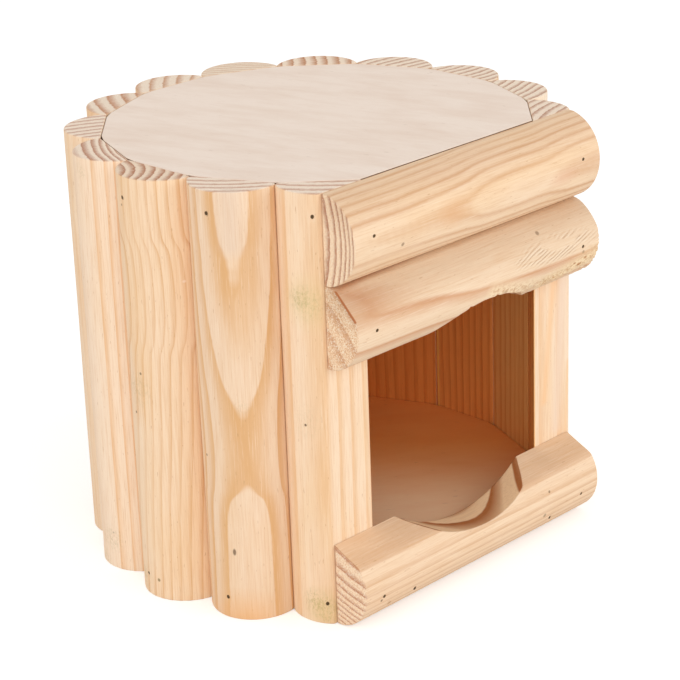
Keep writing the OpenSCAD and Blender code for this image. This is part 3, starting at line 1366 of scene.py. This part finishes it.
@dataclass
class FrontRail(HalfRoundBar):
    """A half-round rail across the front: across is up, out is forwards and along is to the right.

    Attributes:
        cut: What is sawn out of it.
        cut_width: Width of the cut at the rail's edge.
        cut_depth: Depth of the cut.
        cut_middle: Place of the cut's middle.
        bevel_back: Distance from the back to where the planed bevel starts, or a large number for none.
        bevel_slope: Slope of the bevel in radians.
        bevel_fade: Share of the bevel that is lost towards the right end.
        torn: Depth of the torn fibres along the cut and at the right end.
        nicks: Places of small chips in the cut's edge.
    """

    step: float = 0.6
    cut: RailCut = RailCut.NONE
    cut_width: float = 40.0
    cut_depth: float = 7.0
    cut_middle: float = 0.0
    bevel_back: float = 99.0
    bevel_slope: float = 0.8
    bevel_fade: float = 0.0
    torn: float = 0.0
    nicks: tuple[float, ...] = ()

    def cut_height(self, along: np.ndarray) -> np.ndarray:
        """Depth of the round cut at each place.

        It is a circle through the cut's two edges and its deepest point, with a saw's small wander, and a
        chip wherever a nick is listed: a notch with one steep side.

        Args:
            along: Positions along the grain.

        Returns:
            The depths in millimetres.
        """
        radius = (self.cut_width**2 / 4 + self.cut_depth**2) / (2 * self.cut_depth)
        chord = np.sqrt(np.maximum(radius**2 - (along - self.cut_middle) ** 2, 0))
        cut = np.maximum(chord - (radius - self.cut_depth), 0)
        wander = SAW_WANDER * soft_noise(along / 5 + 3, 0 * along, self.seed + 40) * smooth_step(cut, 0, 1.5)
        for place in self.nicks:
            steep = smooth_step(along, place - 0.3, place)
            wander = wander + NICK_DEPTH * steep * smooth_step(-along, -place - 1.6, -place)
        return cut + wander

    def sections(self, along: np.ndarray) -> np.ndarray:
        """Outlines of the rail: back, upper face, bow under the bevel, lower face.

        The bow's depth at each height is the lesser of the moulding's and the bevel's
        bevel_back + (half the width - height) / tan(bevel_slope). Towards the right end the bevel rounds off
        by the share bevel_fade. The heights run between the two cuts.

        Args:
            along: Positions along the grain.

        Returns:
            The outline of each section as (across, out).
        """
        half = self.width / 2
        cut = self.cut_height(along)
        low = -half + (cut if self.cut is RailCut.ARCH else 0 * cut)
        high = half - (cut if self.cut is RailCut.SCOOP else 0 * cut)
        share = (self.crown_positions()[::-1] + half) / self.width
        height = low[:, None] + share[None] * (high - low)[:, None]
        full = self.bow(height)
        bevel = self.bevel_back + (half - height) / math.tan(self.bevel_slope)
        fade = 1 - self.bevel_fade * smooth_step(along, -10.0, self.high)[:, None]
        depth = np.maximum(full - np.maximum(full - bevel, 0) * fade, THINNEST)
        bow = np.stack([height, depth], -1)
        part = np.linspace(0, 1, RAIL_BACK_POINTS)[None, :, None]
        bottom = np.stack([low, np.zeros_like(low)], -1)[:, None]
        top = np.stack([high, np.zeros_like(high)], -1)[:, None]
        back = bottom * (1 - part) + top * part
        part = np.linspace(0, 1, RAIL_FACE_POINTS + 2)[None, 1:-1, None]
        upper = top * (1 - part) + bow[:, :1] * part
        lower = bow[:, -1:] * (1 - part) + bottom * part
        return np.concatenate([back, upper, bow, lower], 1)

    def inside_share(self, outline: np.ndarray, along: np.ndarray) -> np.ndarray:
        """None: a rail's back lies against the jambs."""
        return np.zeros(outline.shape[:2])

    def sawn_share(self, outline: np.ndarray, along: np.ndarray) -> np.ndarray:
        """The cut's own surface, where the saw went through the fibres at a slant.

        Args:
            outline: The outlines (station, point, 2).
            along: Positions along the grain.

        Returns:
            1 on that surface and 0 elsewhere.
        """
        part = np.arange(outline.shape[1])[None]
        start = RAIL_BACK_POINTS if self.cut is RailCut.SCOOP else outline.shape[1] - RAIL_FACE_POINTS
        on_face = (part >= start) & (part < start + RAIL_FACE_POINTS)
        on_cut = on_face & (self.cut_height(along)[:, None] > 0.25)
        return np.where(on_cut & (self.cut is not RailCut.NONE), 1.0, 0.0)

    def relief(self, across: np.ndarray, out: np.ndarray, along: np.ndarray) -> np.ndarray:
        """The moulding's relief, and torn fibres below the bevel and at the right end.

        The fibres are the product of a coarse and a fine noise, both raised above zero.

        Args:
            across: Positions across.
            out: Heights above the back.
            along: Positions along the grain.

        Returns:
            Depths in millimetres.
        """
        depth = super().relief(across, out, along)
        if self.torn == 0:
            return depth
        edge = smooth_step(along, self.high - 6, self.high) * smooth_step(-across, -5, 2)
        coarse = soft_noise(across * 1.4 + 5, along * 0.5, TORN_COARSE_SEED)
        fine = soft_noise(across * 3, along * 1.5, TORN_FINE_SEED)
        fibres = 0.25 * (1 + coarse) * (1 + fine)
        lower = smooth_step(-across, self.width * 0.1, self.width * 0.35) * smooth_step(along, 0, 30)
        return depth + self.torn * fibres * np.maximum(edge, lower * 0.8) * (out > 0.6)


@dataclass
class PanelBoard:
    """The roof or the floor: a round board with flats against the slats and a straight front.

    Attributes:
        low: Height of its underside.
        inner_side_up: Whether its upper side is the one inside the house.
        ease: Radius of its sanded edge.
        seam: Gap that shows between it and the slats.
        front_seam: What the gap at the front has over the CAD model's.
        points: Points round its edge.
        wave: Depth of the slow waves in its faces.
        near_share: How much of the inner side's painted shade there is at the front left, where daylight
            falls in.
    """

    name: str
    node: str
    sizes: HouseSizes
    low: float
    finish: PlywoodFinish
    inner_side_up: bool
    ease: float = 0.18
    seam: float = 0.14
    front_seam: float = 0.5
    points: int = 900
    wave: float = 0.02
    near_share: float = 0.35

    def edge(self) -> tuple[np.ndarray, np.ndarray]:
        """Directions and reach of the board's outline.

        In each direction the reach is the least of the circle's radius, panel_radius / cos(angle to a slat)
        over the slats, and the distance to the front edge.

        Returns:
            Unit directions (point, 2) and the reach of each.
        """
        sizes = self.sizes
        angle = np.linspace(0, 2 * np.pi, self.points, endpoint=False)
        reach = np.full(self.points, sizes.corner_radius - sizes.corner_gap)
        numbers = np.arange(sizes.slat_count) - (sizes.slat_count - 1) / 2
        slat = np.pi / 2 - numbers[:, None] * sizes.pitch
        facing = np.maximum(np.cos(angle[None] - slat), LEAST_COSINE)
        reach = np.minimum(reach, ((sizes.panel_radius - self.seam) / facing).min(0))
        down = np.maximum(-np.sin(angle), LEAST_COSINE)
        reach = np.minimum(reach, (sizes.front_plane - sizes.panel_gap - self.front_seam) / down)
        return np.stack([np.cos(angle), np.sin(angle)], -1), reach

    def build(self) -> bpy.types.Object:
        """Makes the board from rings that run out over its underside, up its edge and back over its top.

        Returns:
            The board.
        """
        sizes = self.sizes
        direction, reach = self.edge()
        rise = easing(self.ease)
        inset = self.ease * (1 - np.sin(np.linspace(0, np.pi / 2, EASE_POINTS)))
        inner = np.linspace(0.04, 0.985, PANEL_FACE_RINGS)
        side = np.linspace(self.ease + 0.03, sizes.panel_thick - self.ease - 0.03, PANEL_EDGE_RINGS)
        reaches = np.concatenate([reach[None] * inner[:, None], reach[None] - inset[:, None],
                                  np.repeat(reach[None], len(side), 0), reach[None] - inset[::-1, None],
                                  reach[None] * inner[::-1, None]])
        heights = np.concatenate([np.zeros(len(inner)), rise, side, sizes.panel_thick - rise[::-1],
                                  np.full(len(inner), sizes.panel_thick)])
        flat = direction[None] * reaches[..., None]
        height = np.repeat(heights[:, None], self.points, 1)
        wave = self.wave * (1 + soft_noise(flat[..., 0] / 14 + 9, flat[..., 1] / 22 + 9, 8))
        height = height + np.where(height > sizes.panel_thick / 2, -wave, wave)
        rings = np.concatenate([flat, height[..., None]], -1) + np.array([0, sizes.axis_y, self.low])
        on_edge = (heights > self.ease) & (heights < sizes.panel_thick - self.ease)
        share = np.repeat(on_edge.astype(float)[:, None], self.points, 1)
        roomward = (heights > sizes.panel_thick / 2) == self.inner_side_up
        # Painted shade on the side that faces into the house: near_share of it at the front left, where
        # daylight falls in through the doorway, rising to full towards the back right.
        back = smooth_step((flat[..., 0] + flat[..., 1]) / math.sqrt(2), -28, 24)
        inside = roomward[:, None] * (self.near_share + (1 - self.near_share) * back) * (1 - share)
        surface = Surface(self.name, rings * MM, {"end_grain": share, "inside": inside})
        return surface.build(self.finish.make((0.0, sizes.axis_y, self.low)), self.node, "plywood")


@dataclass
class SlatWall:
    """The ring of slats, each with its own wood."""

    sizes: HouseSizes

    def figured(self) -> list[PineFinish]:
        """Lists the woods of slats 1 to 4, whose figures are seen from the front left.

        Returns:
            The woods.
        """
        stain, dot, speck = MarkKind.STAIN, MarkKind.DOT, (104, 80, 54)
        thin = {"end_late": (200, 144, 116), "end_early": (255, 236, 216)}
        return [
            PineFinish(
                "pine_slat_01", Growth(-6, -45, 3.3, 0.36, wave=0.35, shift=-0.95, uneven=0.1), 1.3, **thin,
                early=(252, 224, 193), late=(242, 201, 158), warm=(247, 211, 164), contrast=1.2,
                marks=(Mark((5.5, 10, 91), 6, 0.6), Mark((7.6, 9.2, 92), 4, 0.9),
                       Mark((5.5, 10, 91), 9, 0.3, stain, (226, 206, 146)),
                       Mark((3, 11, 4), 5, 0.9), Mark((6.5, 10, 6), 5, 0.85),
                       Mark((4, 11, 4), 8, 0.45, stain, (220, 192, 134)),
                       Mark((6.5, 9, 58), 6, 0.2), Mark((6.9, 9, 57.2), 0.45, 0.9, dot, speck),
                       Mark((3, 10.8, 42), 2.6, 0.3, stain, (238, 188, 130), 5.0))),
            PineFinish(
                "pine_slat_02",
                Growth(15, -45, 2.9, 0.5, wave=0.22, shift=-0.23, uneven=0.0,
                       rise=((0, 0.5), (14, 0.44), (28, 0.37), (34, 0.25), (39, 0.0), (47, -0.1), (59, 0.0),
                             (70, 0.32), (82, 0.66), (91, 0.88), (96, 1.0), (100, 1.02), (103.5, 1.05),
                             (107, 1.14), (112, 1.2), (120, 1.24))), 2.1, **thin,
                early=(244, 214, 183), late=(226, 176, 122), warm=(238, 194, 140), warm_share=0.25,
                contrast=1.05,
                marks=(Mark((0.2, 11, 20), 0.6, 0.8, dot, speck, 2.0),
                       Mark((8, 8, 46), 0.45, 0.7, dot, speck),
                       Mark((-2, 10, -3), 13, 0.8, stain, (238, 180, 120)),
                       Mark((-3.4, 10.6, 106), 4.6, 0.4, stain, (226, 203, 184), line=(0, 0, 14)),
                       Mark((2.6, 10.6, 114), 0.5, 0.5, dot, speck, 2.0), Mark((-4, 10.5, 62), 3, 0.25))),
            PineFinish(
                "pine_slat_03",
                Growth(15.5, 18, 2.6, 0.28, wave=0.3, shift=-0.27, uneven=0.0, end_share=0.6,
                       rise=((0, 1.3), (21, 1.0), (38, 0.65), (51, 0.4), (62, 0.25), (71, 0.0), (77, -0.6),
                             (87, -0.9), (99, -0.7), (105.5, 0.0), (112, 0.15), (120, 0.2)),
                       sway=((0, 0.3), (30, 0.2), (62, -0.3), (86, 0.3), (120, 0.2))), 3.4,
                early=(250, 219, 184), late=(222, 168, 112), warm=(244, 200, 148), contrast=0.85,
                end_late=(176, 104, 60), end_early=(250, 226, 200),
                marks=(Mark((2, 11, 61), 6, 0.45), Mark((0, 11, 66), 0.5, 0.7, dot, speck),
                       Mark((3, 10.6, 12), 9, 0.35, stain, (251, 226, 196), line=(0, 0, 34)),
                       Mark((5, 10.5, 5), 5, 0.5), Mark((-1.5, 11, 5.5), 0.6, 0.7, dot, (120, 104, 50)),
                       Mark((9, 8, 113), 4, 0.5), Mark((2.5, 10.8, 114), 0.6, 0.6, dot, speck),
                       Mark((-10.7, 3.5, 92.3), 0.9, 0.9, dot, (252, 228, 212), 0.7),
                       Mark((3.4, 10.8, 112), 0.5, 0.6, dot, speck),
                       Mark((3.4, 10.8, 54), 0.5, 0.8, dot, speck))),
            PineFinish(
                "pine_slat_04",
                Growth(-8, -50, 2.15, 0.24, taper=-0.1, wave=0.2, shift=0.668, uneven=0.0, end_share=0.6),
                4.2, early=(254, 230, 204), late=(238, 186, 134), warm=(248, 208, 162), warm_share=0.3,
                contrast=1.0, end_late=(184, 118, 82), end_early=(255, 234, 212),
                marks=(Mark((-4.5, 10, 9), 5, 0.5), Mark((-5, 9.6, 11), 0.5, 0.6, dot, speck),
                       Mark((0, 11, 2), 4, 0.4), Mark((-3, 10.7, 116), 3, 0.4))),
        ]

    def plain(self) -> list[PineFinish]:
        """Lists the woods of slats 5 to 9, of which the front left shows the upper ends alone.

        Returns:
            The woods.
        """
        return [
            PineFinish("pine_slat_05", Growth(-62, -14, 3.2, 0.36, wave=0.3), 5.7,
                       end_late=(200, 144, 116), end_early=(255, 236, 216)),
            PineFinish("pine_slat_06", Growth(48, -58, 4.2, 0.5, wave=0.35, end_share=0.55), 6.9,
                       end_late=(196, 130, 86), end_early=(252, 232, 210)),
            PineFinish("pine_slat_07", Growth(56, -50, 3.9, 0.5, wave=0.4), 7.5,
                       end_late=(206, 150, 110), end_early=(254, 234, 212)),
            PineFinish("pine_slat_08", Growth(-26, -58, 2.2, 0.4, wave=0.5), 8.8, contrast=0.5,
                       end_late=(220, 176, 142), end_early=(250, 230, 206)),
            PineFinish("pine_slat_09", Growth(-70, 2, 3.5, 0.52, wave=0.3, end_share=0.6), 9.1,
                       end_late=(192, 124, 74), end_early=(254, 232, 208)),
        ]

    def roomward(self) -> list[PineFinish]:
        """Lists the woods of slats 10 to 13, whose inner sides are seen through the doorway.

        Returns:
            The woods.
        """
        stain, rust = MarkKind.STAIN, (150, 76, 30)
        ends = {"end_late": (188, 130, 98), "end_early": (255, 236, 214)}
        # The inner sides get painted shade, darkest and reddest on slat 10, which stands furthest back.
        return [
            PineFinish("pine_slat_10", Growth(52, -22, 3.0, 0.34, wave=0.6, uneven=0.4), 10.6, **ends,
                       contrast=1.0, shade=(0.9, 0.43, 0.14)),
            PineFinish(
                "pine_slat_11", Growth(-60, 6, 2.8, 0.34, wave=1.0, uneven=0.45), 11.2, **ends,
                contrast=1.0, shade=(1.0, 0.56, 0.22),
                # Painted light: a bright line along the seam with slat 10, standing in for daylight that
                # leaks in through the gap.
                marks=(Mark((-10.8, 0, 12), 0.42, 0.9, MarkKind.DOT, (255, 202, 108), line=(0, 0, 96)),
                       Mark((1.5, 0, 84), 1.1, 0.6, stain, rust, 4.0),
                       Mark((4.5, 0, 60), 0.9, 0.4, stain, rust, 5.0))),
            PineFinish("pine_slat_12", Growth(-44, -30, 2.6, 0.34, wave=0.6), 12.4, **ends,
                       early=(255, 240, 218), warm=(254, 220, 176), contrast=0.5, shade=(1.0, 0.71, 0.34)),
            PineFinish(
                "pine_slat_13", Growth(24, 52, 2.9, 0.36, wave=0.5, uneven=0.1), 13.9,
                early=(252, 226, 197), late=(241, 193, 145), warm=(246, 203, 154),
                end_late=(186, 128, 96), end_early=(255, 234, 212), shade=(1.0, 0.72, 0.36),
                marks=(Mark((3.4, 6.5, 76), 2.0, 0.55, stain, (252, 200, 146), line=(3.4, -3.2, -40)),
                       Mark((0.6, 9.2, 76), 3.0, 0.6, stain, (246, 220, 198), line=(2.4, -2.2, -50)),
                       Mark((-1.0, 10.8, 45), 1.0, 0.5, stain, (250, 204, 150), line=(0.8, -0.8, -24)))),
        ]

    def build(self) -> None:
        """Makes the slats and closes the doorway's sides with the two jamb slats."""
        sizes = self.sizes
        heights = (sizes.panel_thick / 2, sizes.height - sizes.panel_thick / 2)
        middle = (sizes.slat_count + 1) / 2
        for number, finish in enumerate(self.figured() + self.plain() + self.roomward(), 1):
            placement = Placement.of_slat(sizes, number)
            side = math.copysign(sizes.brad_offset, middle - number) if number != middle else 0.0
            node = f"wall_slat_{number:02d}"
            common = dict(name=f"{node}_wood", node=node, slot="pine_slats", width=sizes.slat_width,
                          thick=sizes.slat_thick, land=sizes.slat_land, low=0.0, high=sizes.height,
                          placement=placement, finish=finish, brads=[(side, z) for z in heights],
                          seed=number)
            if number in (1, sizes.slat_count):
                normal = (-placement.across[1], -placement.out[1])
                reach = sizes.front_plane + placement.out[1] * sizes.panel_radius
                JambSlat(**common, cut_normal=normal, cut_reach=reach).build()
            else:
                HalfRoundBar(**common).build()


@dataclass
class FrontRails:
    """The three rails across the front: their heights, and the places of the brads, in millimetres."""

    sizes: HouseSizes
    top_height: float = 24.5
    arch_height: float = 22.5
    sill_height: float = 23.1
    top_brad_drop: float = 10.7
    sill_brad_z: float = 9.0
    floor_brad_x: float = 28.5
    speck: Rgb = (116, 84, 54)

    def rail(self, name: str, low_z: float, height: float, finish: PineFinish,
             brads: list[tuple[float, float]], **cut: object) -> FrontRail:
        """Works out one rail.

        Args:
            name: The CAD node that it stands for.
            low_z: Height of its underside.
            height: Its height.
            finish: Its wood.
            brads: Its brads, as (height above the floor, place to the right).
            cut: What is cut out of it, as fields of FrontRail.

        Returns:
            The rail.
        """
        middle = low_z + height / 2
        half = self.sizes.rail_length / 2
        return FrontRail(name=f"{name}_wood", node=name, slot="pine_rails", width=height,
                         thick=self.sizes.rail_thick, land=self.sizes.rail_land, low=-half, high=half,
                         placement=Placement.of_rail(self.sizes, middle), finish=finish,
                         brads=[(z - middle, x) for z, x in brads], **cut)

    def top_finish(self) -> PineFinish:
        """Chooses the top rail's wood.

        Returns:
            The wood.
        """
        stain, dot, speck = MarkKind.STAIN, MarkKind.DOT, self.speck
        return PineFinish(
            "pine_top_rail",
            Growth(0.0, -38, 1.95, 0.36, taper=0.12, wave=0.25, uneven=0.04, shift=0.07, edge=0.3,
                   rise=((-52, 0.0), (-40, 0.0), (-32, -0.02), (-20, 0.1), (-12, 0.22), (-6, 0.34),
                         (4, 0.75), (14, 0.85), (24, 0.8), (32, 1.0), (40, 1.18), (52, 1.2))),
            14.2, early=(247, 217, 183), late=(214, 162, 118), warm=(244, 205, 158), contrast=1.1,
            speckle=0.5, end_late=(164, 92, 60), end_early=(255, 226, 192),
            # Painted shade along the rail's upper part, whose faces look up and get less light.
            marks=(Mark((10.5, 6, -60), 9.0, 0.75, MarkKind.PAINTED_SHADE, (236, 228, 222), line=(0, 0, 120)),
                   Mark((-3.5, 11, -31), 0.7, 0.6, dot, speck),
                   Mark((0, 11.5, -12), 5.0, 0.35, stain, (226, 168, 116), 1.6),
                   Mark((-1.5, 11.5, 33), 3.0, 0.35, stain, (226, 166, 130), 2.4)))

    def arch_finish(self) -> PineFinish:
        """Chooses the arch rail's wood, with a rough pale strip along its lower right.

        Returns:
            The wood.
        """
        stain, dot, dirt, speck = MarkKind.STAIN, MarkKind.DOT, MarkKind.DIRT, self.speck
        pit, deep_pit = (202, 146, 92), (182, 116, 60)
        left, right = {"line": (-4.5, -2.0, 24)}, {"line": (3.5, 1.5, 22)}
        return PineFinish(
            "pine_arch_rail",
            Growth(-27, -25, 5.5, 0.26, wave=0.4, uneven=0.0, shift=-0.33, edge=0.1,
                   rise=((-52, -0.15), (-41, 0.0), (-20, 0.11), (0, 0.4), (20, 0.52), (50, 0.56))),
            15.8, early=(244, 216, 184), late=(216, 162, 122), warm=(241, 208, 172), warm_share=0.2,
            contrast=1.3, speckle=0.85, end_late=(212, 156, 112), end_early=(250, 214, 174),
            tear=Tear((2.4, 11, 30), (21.0, 4.0)),
            # Painted shade along the rail's upper part and bevel, whose faces look up and get less light.
            marks=(Mark((10.5, 6, -60), 11.0, 1.0, MarkKind.PAINTED_SHADE, (234, 232, 230), line=(0, 0, 120)),
                   Mark((11.3, 3.4, -48.7), 0.55, 0.9, dot, (176, 100, 48), line=(-7.2, 7.0, 0)),
                   Mark((7.5, 8, 25.5), 0.8, 0.6, dot, speck), Mark((-1.5, 11, 41.5), 0.7, 0.6, dot, speck),
                   Mark((-3.0, 11, 4), 4.0, 0.8, stain, (253, 229, 192), **left),
                   Mark((-7.0, 9, 28), 4.4, 0.8, stain, (255, 229, 186), **right),
                   Mark((-3.0, 11, 4), 3.2, 0.8, dirt, pit, **left),
                   Mark((-7.0, 9, 28), 4.0, 0.8, dirt, pit, **right),
                   Mark((-3.5, 10.5, 43), 0.6, 0.8, dot, deep_pit, 1.5),
                   Mark((-5.2, 10, 41), 0.7, 0.8, dot, deep_pit, 1.8),
                   Mark((-4.2, 10.3, 38.5), 0.5, 0.8, dot, deep_pit, 2.0),
                   Mark((-4.2, 10.4, 9), 0.8, 0.4, dot, (170, 126, 84), 2.0)))

    def sill_finish(self) -> PineFinish:
        """Chooses the sill rail's wood.

        Returns:
            The wood.
        """
        dot, speck = MarkKind.DOT, self.speck
        return PineFinish(
            "pine_sill_rail", Growth(38.6, 17, 2.3, 0.4, taper=0.07, wave=0.2, uneven=0.06, shift=0.37),
            16.6, early=(247, 217, 184), late=(226, 184, 145), warm=(236, 198, 160), warm_share=0.3,
            contrast=1.0, speckle=0.6, end_late=(190, 122, 84), end_early=(255, 224, 190),
            # Painted shade over the top of the sill, right of the scoop.
            marks=(Mark((11.4, 5, 34), 7.0, 0.9, MarkKind.PAINTED_SHADE, (242, 240, 238), line=(0, 0, 20)),
                   Mark((11.4, 0.6, -48.7), 0.45, 0.6, dot, (184, 118, 70), line=(-4.0, 8.2, 0)),
                   Mark((-6, 9.5, -38.5), 0.9, 0.5, dot, (180, 130, 80)),
                   Mark((-3.5, 10.8, -42.5), 0.5, 0.8, dot, speck),
                   Mark((3.2, 11, 27), 0.5, 0.7, dot, speck), Mark((-3.5, 10.8, 25), 0.8, 0.5, dot, speck)))

    def build(self) -> None:
        """Makes the rails from the top down."""
        sizes = self.sizes
        sides = [side * sizes.jamb_mid for side in (-1, 1)]
        top_z = sizes.height - self.top_height
        arch_z = top_z - self.arch_height
        self.rail("top_rail", top_z, self.top_height, self.top_finish(),
                  [(sizes.height - self.top_brad_drop, x) for x in sides]).build()
        self.rail("arch_rail", arch_z, self.arch_height, self.arch_finish(),
                  [(arch_z + self.arch_height / 2, x) for x in sides],
                  cut=RailCut.ARCH, cut_width=43.0, cut_depth=7.0, cut_middle=2.0, bevel_back=3.6,
                  bevel_slope=math.radians(45), bevel_fade=0.7, torn=0.9, nicks=(-5.3, 5.3), seed=3).build()
        low_brads = [(self.sill_brad_z, x) for x in sides]
        low_brads += [(sizes.panel_thick / 2, side * self.floor_brad_x) for side in (-1, 1)]
        self.rail("sill_rail", 0.0, self.sill_height, self.sill_finish(), low_brads,
                  cut=RailCut.SCOOP, cut_width=51.0, cut_depth=8.0, bevel_back=0.0,
                  bevel_slope=math.radians(25), seed=5).build()


@dataclass(frozen=True)
class Lamp:
    """A square soft lamp: its name, its place in metres and its power in watts."""

    name: str
    place: Point
    power: float


@dataclass(frozen=True)
class Studio:
    """Plain soft light, a white floor and the camera at the photograph's angle.

    The camera is turned by azimuth from straight in front, looks down by elevation, is turned about its
    own axis by roll, and stands at camera_place in millimetres. sky is the strength of the even light.
    The lamps are lamp_size wide and point at lamp_aim. The floor gives back floor_grey of the light, and
    the camera sees floor_glow more. Sizes of the studio are in metres.
    """

    azimuth: float = math.radians(-45.127)
    elevation: float = math.radians(21.247)
    roll: float = math.radians(-2.078)
    camera_place: Point = (-424.48, -433.04, 288.50)
    lens: float = 119.59
    sensor: float = 36.0
    clip_start: float = 0.01
    sky: float = 0.67
    sky_colour: Point = (1.0, 0.995, 0.985)
    lamps: tuple[Lamp, ...] = (Lamp("left_lamp", (-2.1, 0.2, 0.8), 8.6),
                               Lamp("fill_lamp", (-1.3, -1.7, 0.9), 11.0),
                               Lamp("front_lamp", (0.9, -2.0, 0.8), 13.0))
    lamp_size: float = 1.5
    lamp_aim: Point = (0.0, 0.0, 0.06)
    floor_reach: float = 6.0
    floor_grey: float = 0.86
    floor_glow: float = 0.4

    def stand(self, name: str, data: bpy.types.ID, axes: list[np.ndarray],
              place: np.ndarray) -> bpy.types.Object:
        """Puts up a camera or a lamp.

        Args:
            name: Its name.
            data: What it is.
            axes: Directions of its right, its up and its back.
            place: Where it stands, in metres.

        Returns:
            The object.
        """
        matrix = np.eye(4)
        matrix[:3, :3] = np.stack(axes, -1)
        matrix[:3, 3] = place
        thing = bpy.data.objects.new(name, data)
        thing.matrix_world = Matrix(matrix.tolist())
        bpy.context.scene.collection.objects.link(thing)
        return thing

    def camera(self) -> None:
        """Puts the camera where the photograph was taken from."""
        sin_a, cos_a = math.sin(self.azimuth), math.cos(self.azimuth)
        sin_e, cos_e = math.sin(self.elevation), math.cos(self.elevation)
        sin_r, cos_r = math.sin(self.roll), math.cos(self.roll)
        back = np.array([sin_a * cos_e, -cos_a * cos_e, sin_e])
        right = np.array([cos_a, sin_a, 0.0])
        up = np.cross(back, right)
        data = bpy.data.cameras.new("camera")
        data.lens = self.lens
        data.sensor_width = self.sensor
        data.clip_start = self.clip_start
        axes = [cos_r * right + sin_r * up, -sin_r * right + cos_r * up, back]
        place = np.array(self.camera_place) * MM
        bpy.context.scene.camera = self.stand("camera", data, axes, place)

    def world(self) -> None:
        """Lights the house evenly, and shows white to the camera and in reflections."""
        world = bpy.data.worlds.new("sky")
        world.use_nodes = True
        tree = world.node_tree
        tree.nodes.clear()
        output = tree.nodes.new("ShaderNodeOutputWorld")
        lit = tree.nodes.new("ShaderNodeBackground")
        lit.inputs["Color"].default_value = (*self.sky_colour, 1)
        lit.inputs["Strength"].default_value = self.sky
        seen = tree.nodes.new("ShaderNodeBackground")
        seen.inputs["Color"].default_value = (1, 1, 1, 1)
        mix = tree.nodes.new("ShaderNodeMixShader")
        path = tree.nodes.new("ShaderNodeLightPath")
        either = tree.nodes.new("ShaderNodeMath")
        either.operation = "MAXIMUM"
        for start, end in ((path.outputs["Is Camera Ray"], either.inputs[0]),
                           (path.outputs["Is Glossy Ray"], either.inputs[1]),
                           (either.outputs[0], mix.inputs[0]), (lit.outputs[0], mix.inputs[1]),
                           (seen.outputs[0], mix.inputs[2]), (mix.outputs[0], output.inputs[0])):
            tree.links.new(start, end)
        bpy.context.scene.world = world

    def lamp(self, lamp: Lamp) -> None:
        """Puts up a lamp that points at lamp_aim.

        Args:
            lamp: The lamp.
        """
        data = bpy.data.lights.new(lamp.name, "AREA")
        data.shape = "SQUARE"
        data.size = self.lamp_size
        data.energy = lamp.power
        away = np.array(lamp.place) - np.array(self.lamp_aim)
        away = away / np.linalg.norm(away)
        side = np.cross([0, 0, 1.0], away)
        side = side / np.linalg.norm(side)
        self.stand(lamp.name, data, [side, np.cross(away, side), away], np.array(lamp.place))

    def floor(self) -> None:
        """A wide white floor that keeps the house's shadow."""
        mesh = bpy.data.meshes.new("studio_floor")
        reach = self.floor_reach
        corners = [(-reach, -reach, 0), (reach, -reach, 0), (reach, reach, 0), (-reach, reach, 0)]
        mesh.from_pydata(corners, [], [(0, 1, 2, 3)])
        floor = bpy.data.objects.new("studio_floor", mesh)
        graph = Graph("studio_floor")
        graph.dress(Base_Color=(self.floor_grey,) * 3 + (1,), Roughness=0.9, Specular_IOR_Level=0.0)
        glow = graph.tree.nodes.new("ShaderNodeEmission")
        glow.inputs["Strength"].default_value = self.floor_glow
        both = graph.tree.nodes.new("ShaderNodeAddShader")
        mix = graph.tree.nodes.new("ShaderNodeMixShader")
        path = graph.tree.nodes.new("ShaderNodeLightPath")
        for socket, value in ((both.inputs[0], graph.shader.outputs[0]), (both.inputs[1], glow.outputs[0]),
                              (mix.inputs[0], path.outputs["Is Camera Ray"]),
                              (mix.inputs[1], graph.shader.outputs[0]), (mix.inputs[2], both.outputs[0]),
                              (graph.output.inputs[0], mix.outputs[0])):
            graph.put(socket, value)
        mesh.materials.append(graph.material)
        bpy.context.scene.collection.objects.link(floor)

    def build(self) -> None:
        """Makes the whole studio."""
        self.camera()
        self.world()
        for lamp in self.lamps:
            self.lamp(lamp)
        self.floor()


def dress_brads() -> None:
    """Gives the brads that the CAD model carries their steel."""
    steel = BradFinish().make()
    for name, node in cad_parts.items():
        if name.endswith("brads"):
            node.data.materials.clear()
            node.data.materials.append(steel)
            LOG.info("%s: dressed", name)


def main() -> None:
    """Builds the studio and the house in order."""
    logging.basicConfig(level=logging.INFO)
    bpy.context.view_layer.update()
    sizes = HouseSizes()
    scene = bpy.context.scene
    scene.view_settings.view_transform = "Standard"
    Studio().build()
    # Each board's inner side takes a painted shade, the floor's of its own colour.
    roof = PlywoodFinish("plywood_roof", math.radians(-76))
    floor = PlywoodFinish("plywood_floor", math.radians(-40), face=(255, 238, 208), streak=(250, 222, 188),
                          inside=(255, 196, 132))
    PanelBoard("roof_board", "roof_panel", sizes, sizes.height - sizes.panel_thick, roof, False).build()
    PanelBoard("floor_board", "floor_panel", sizes, 0.0, floor, True).build()
    SlatWall(sizes).build()
    FrontRails(sizes).build()
    dress_brads()


if __name__ == "__main__":
    main()
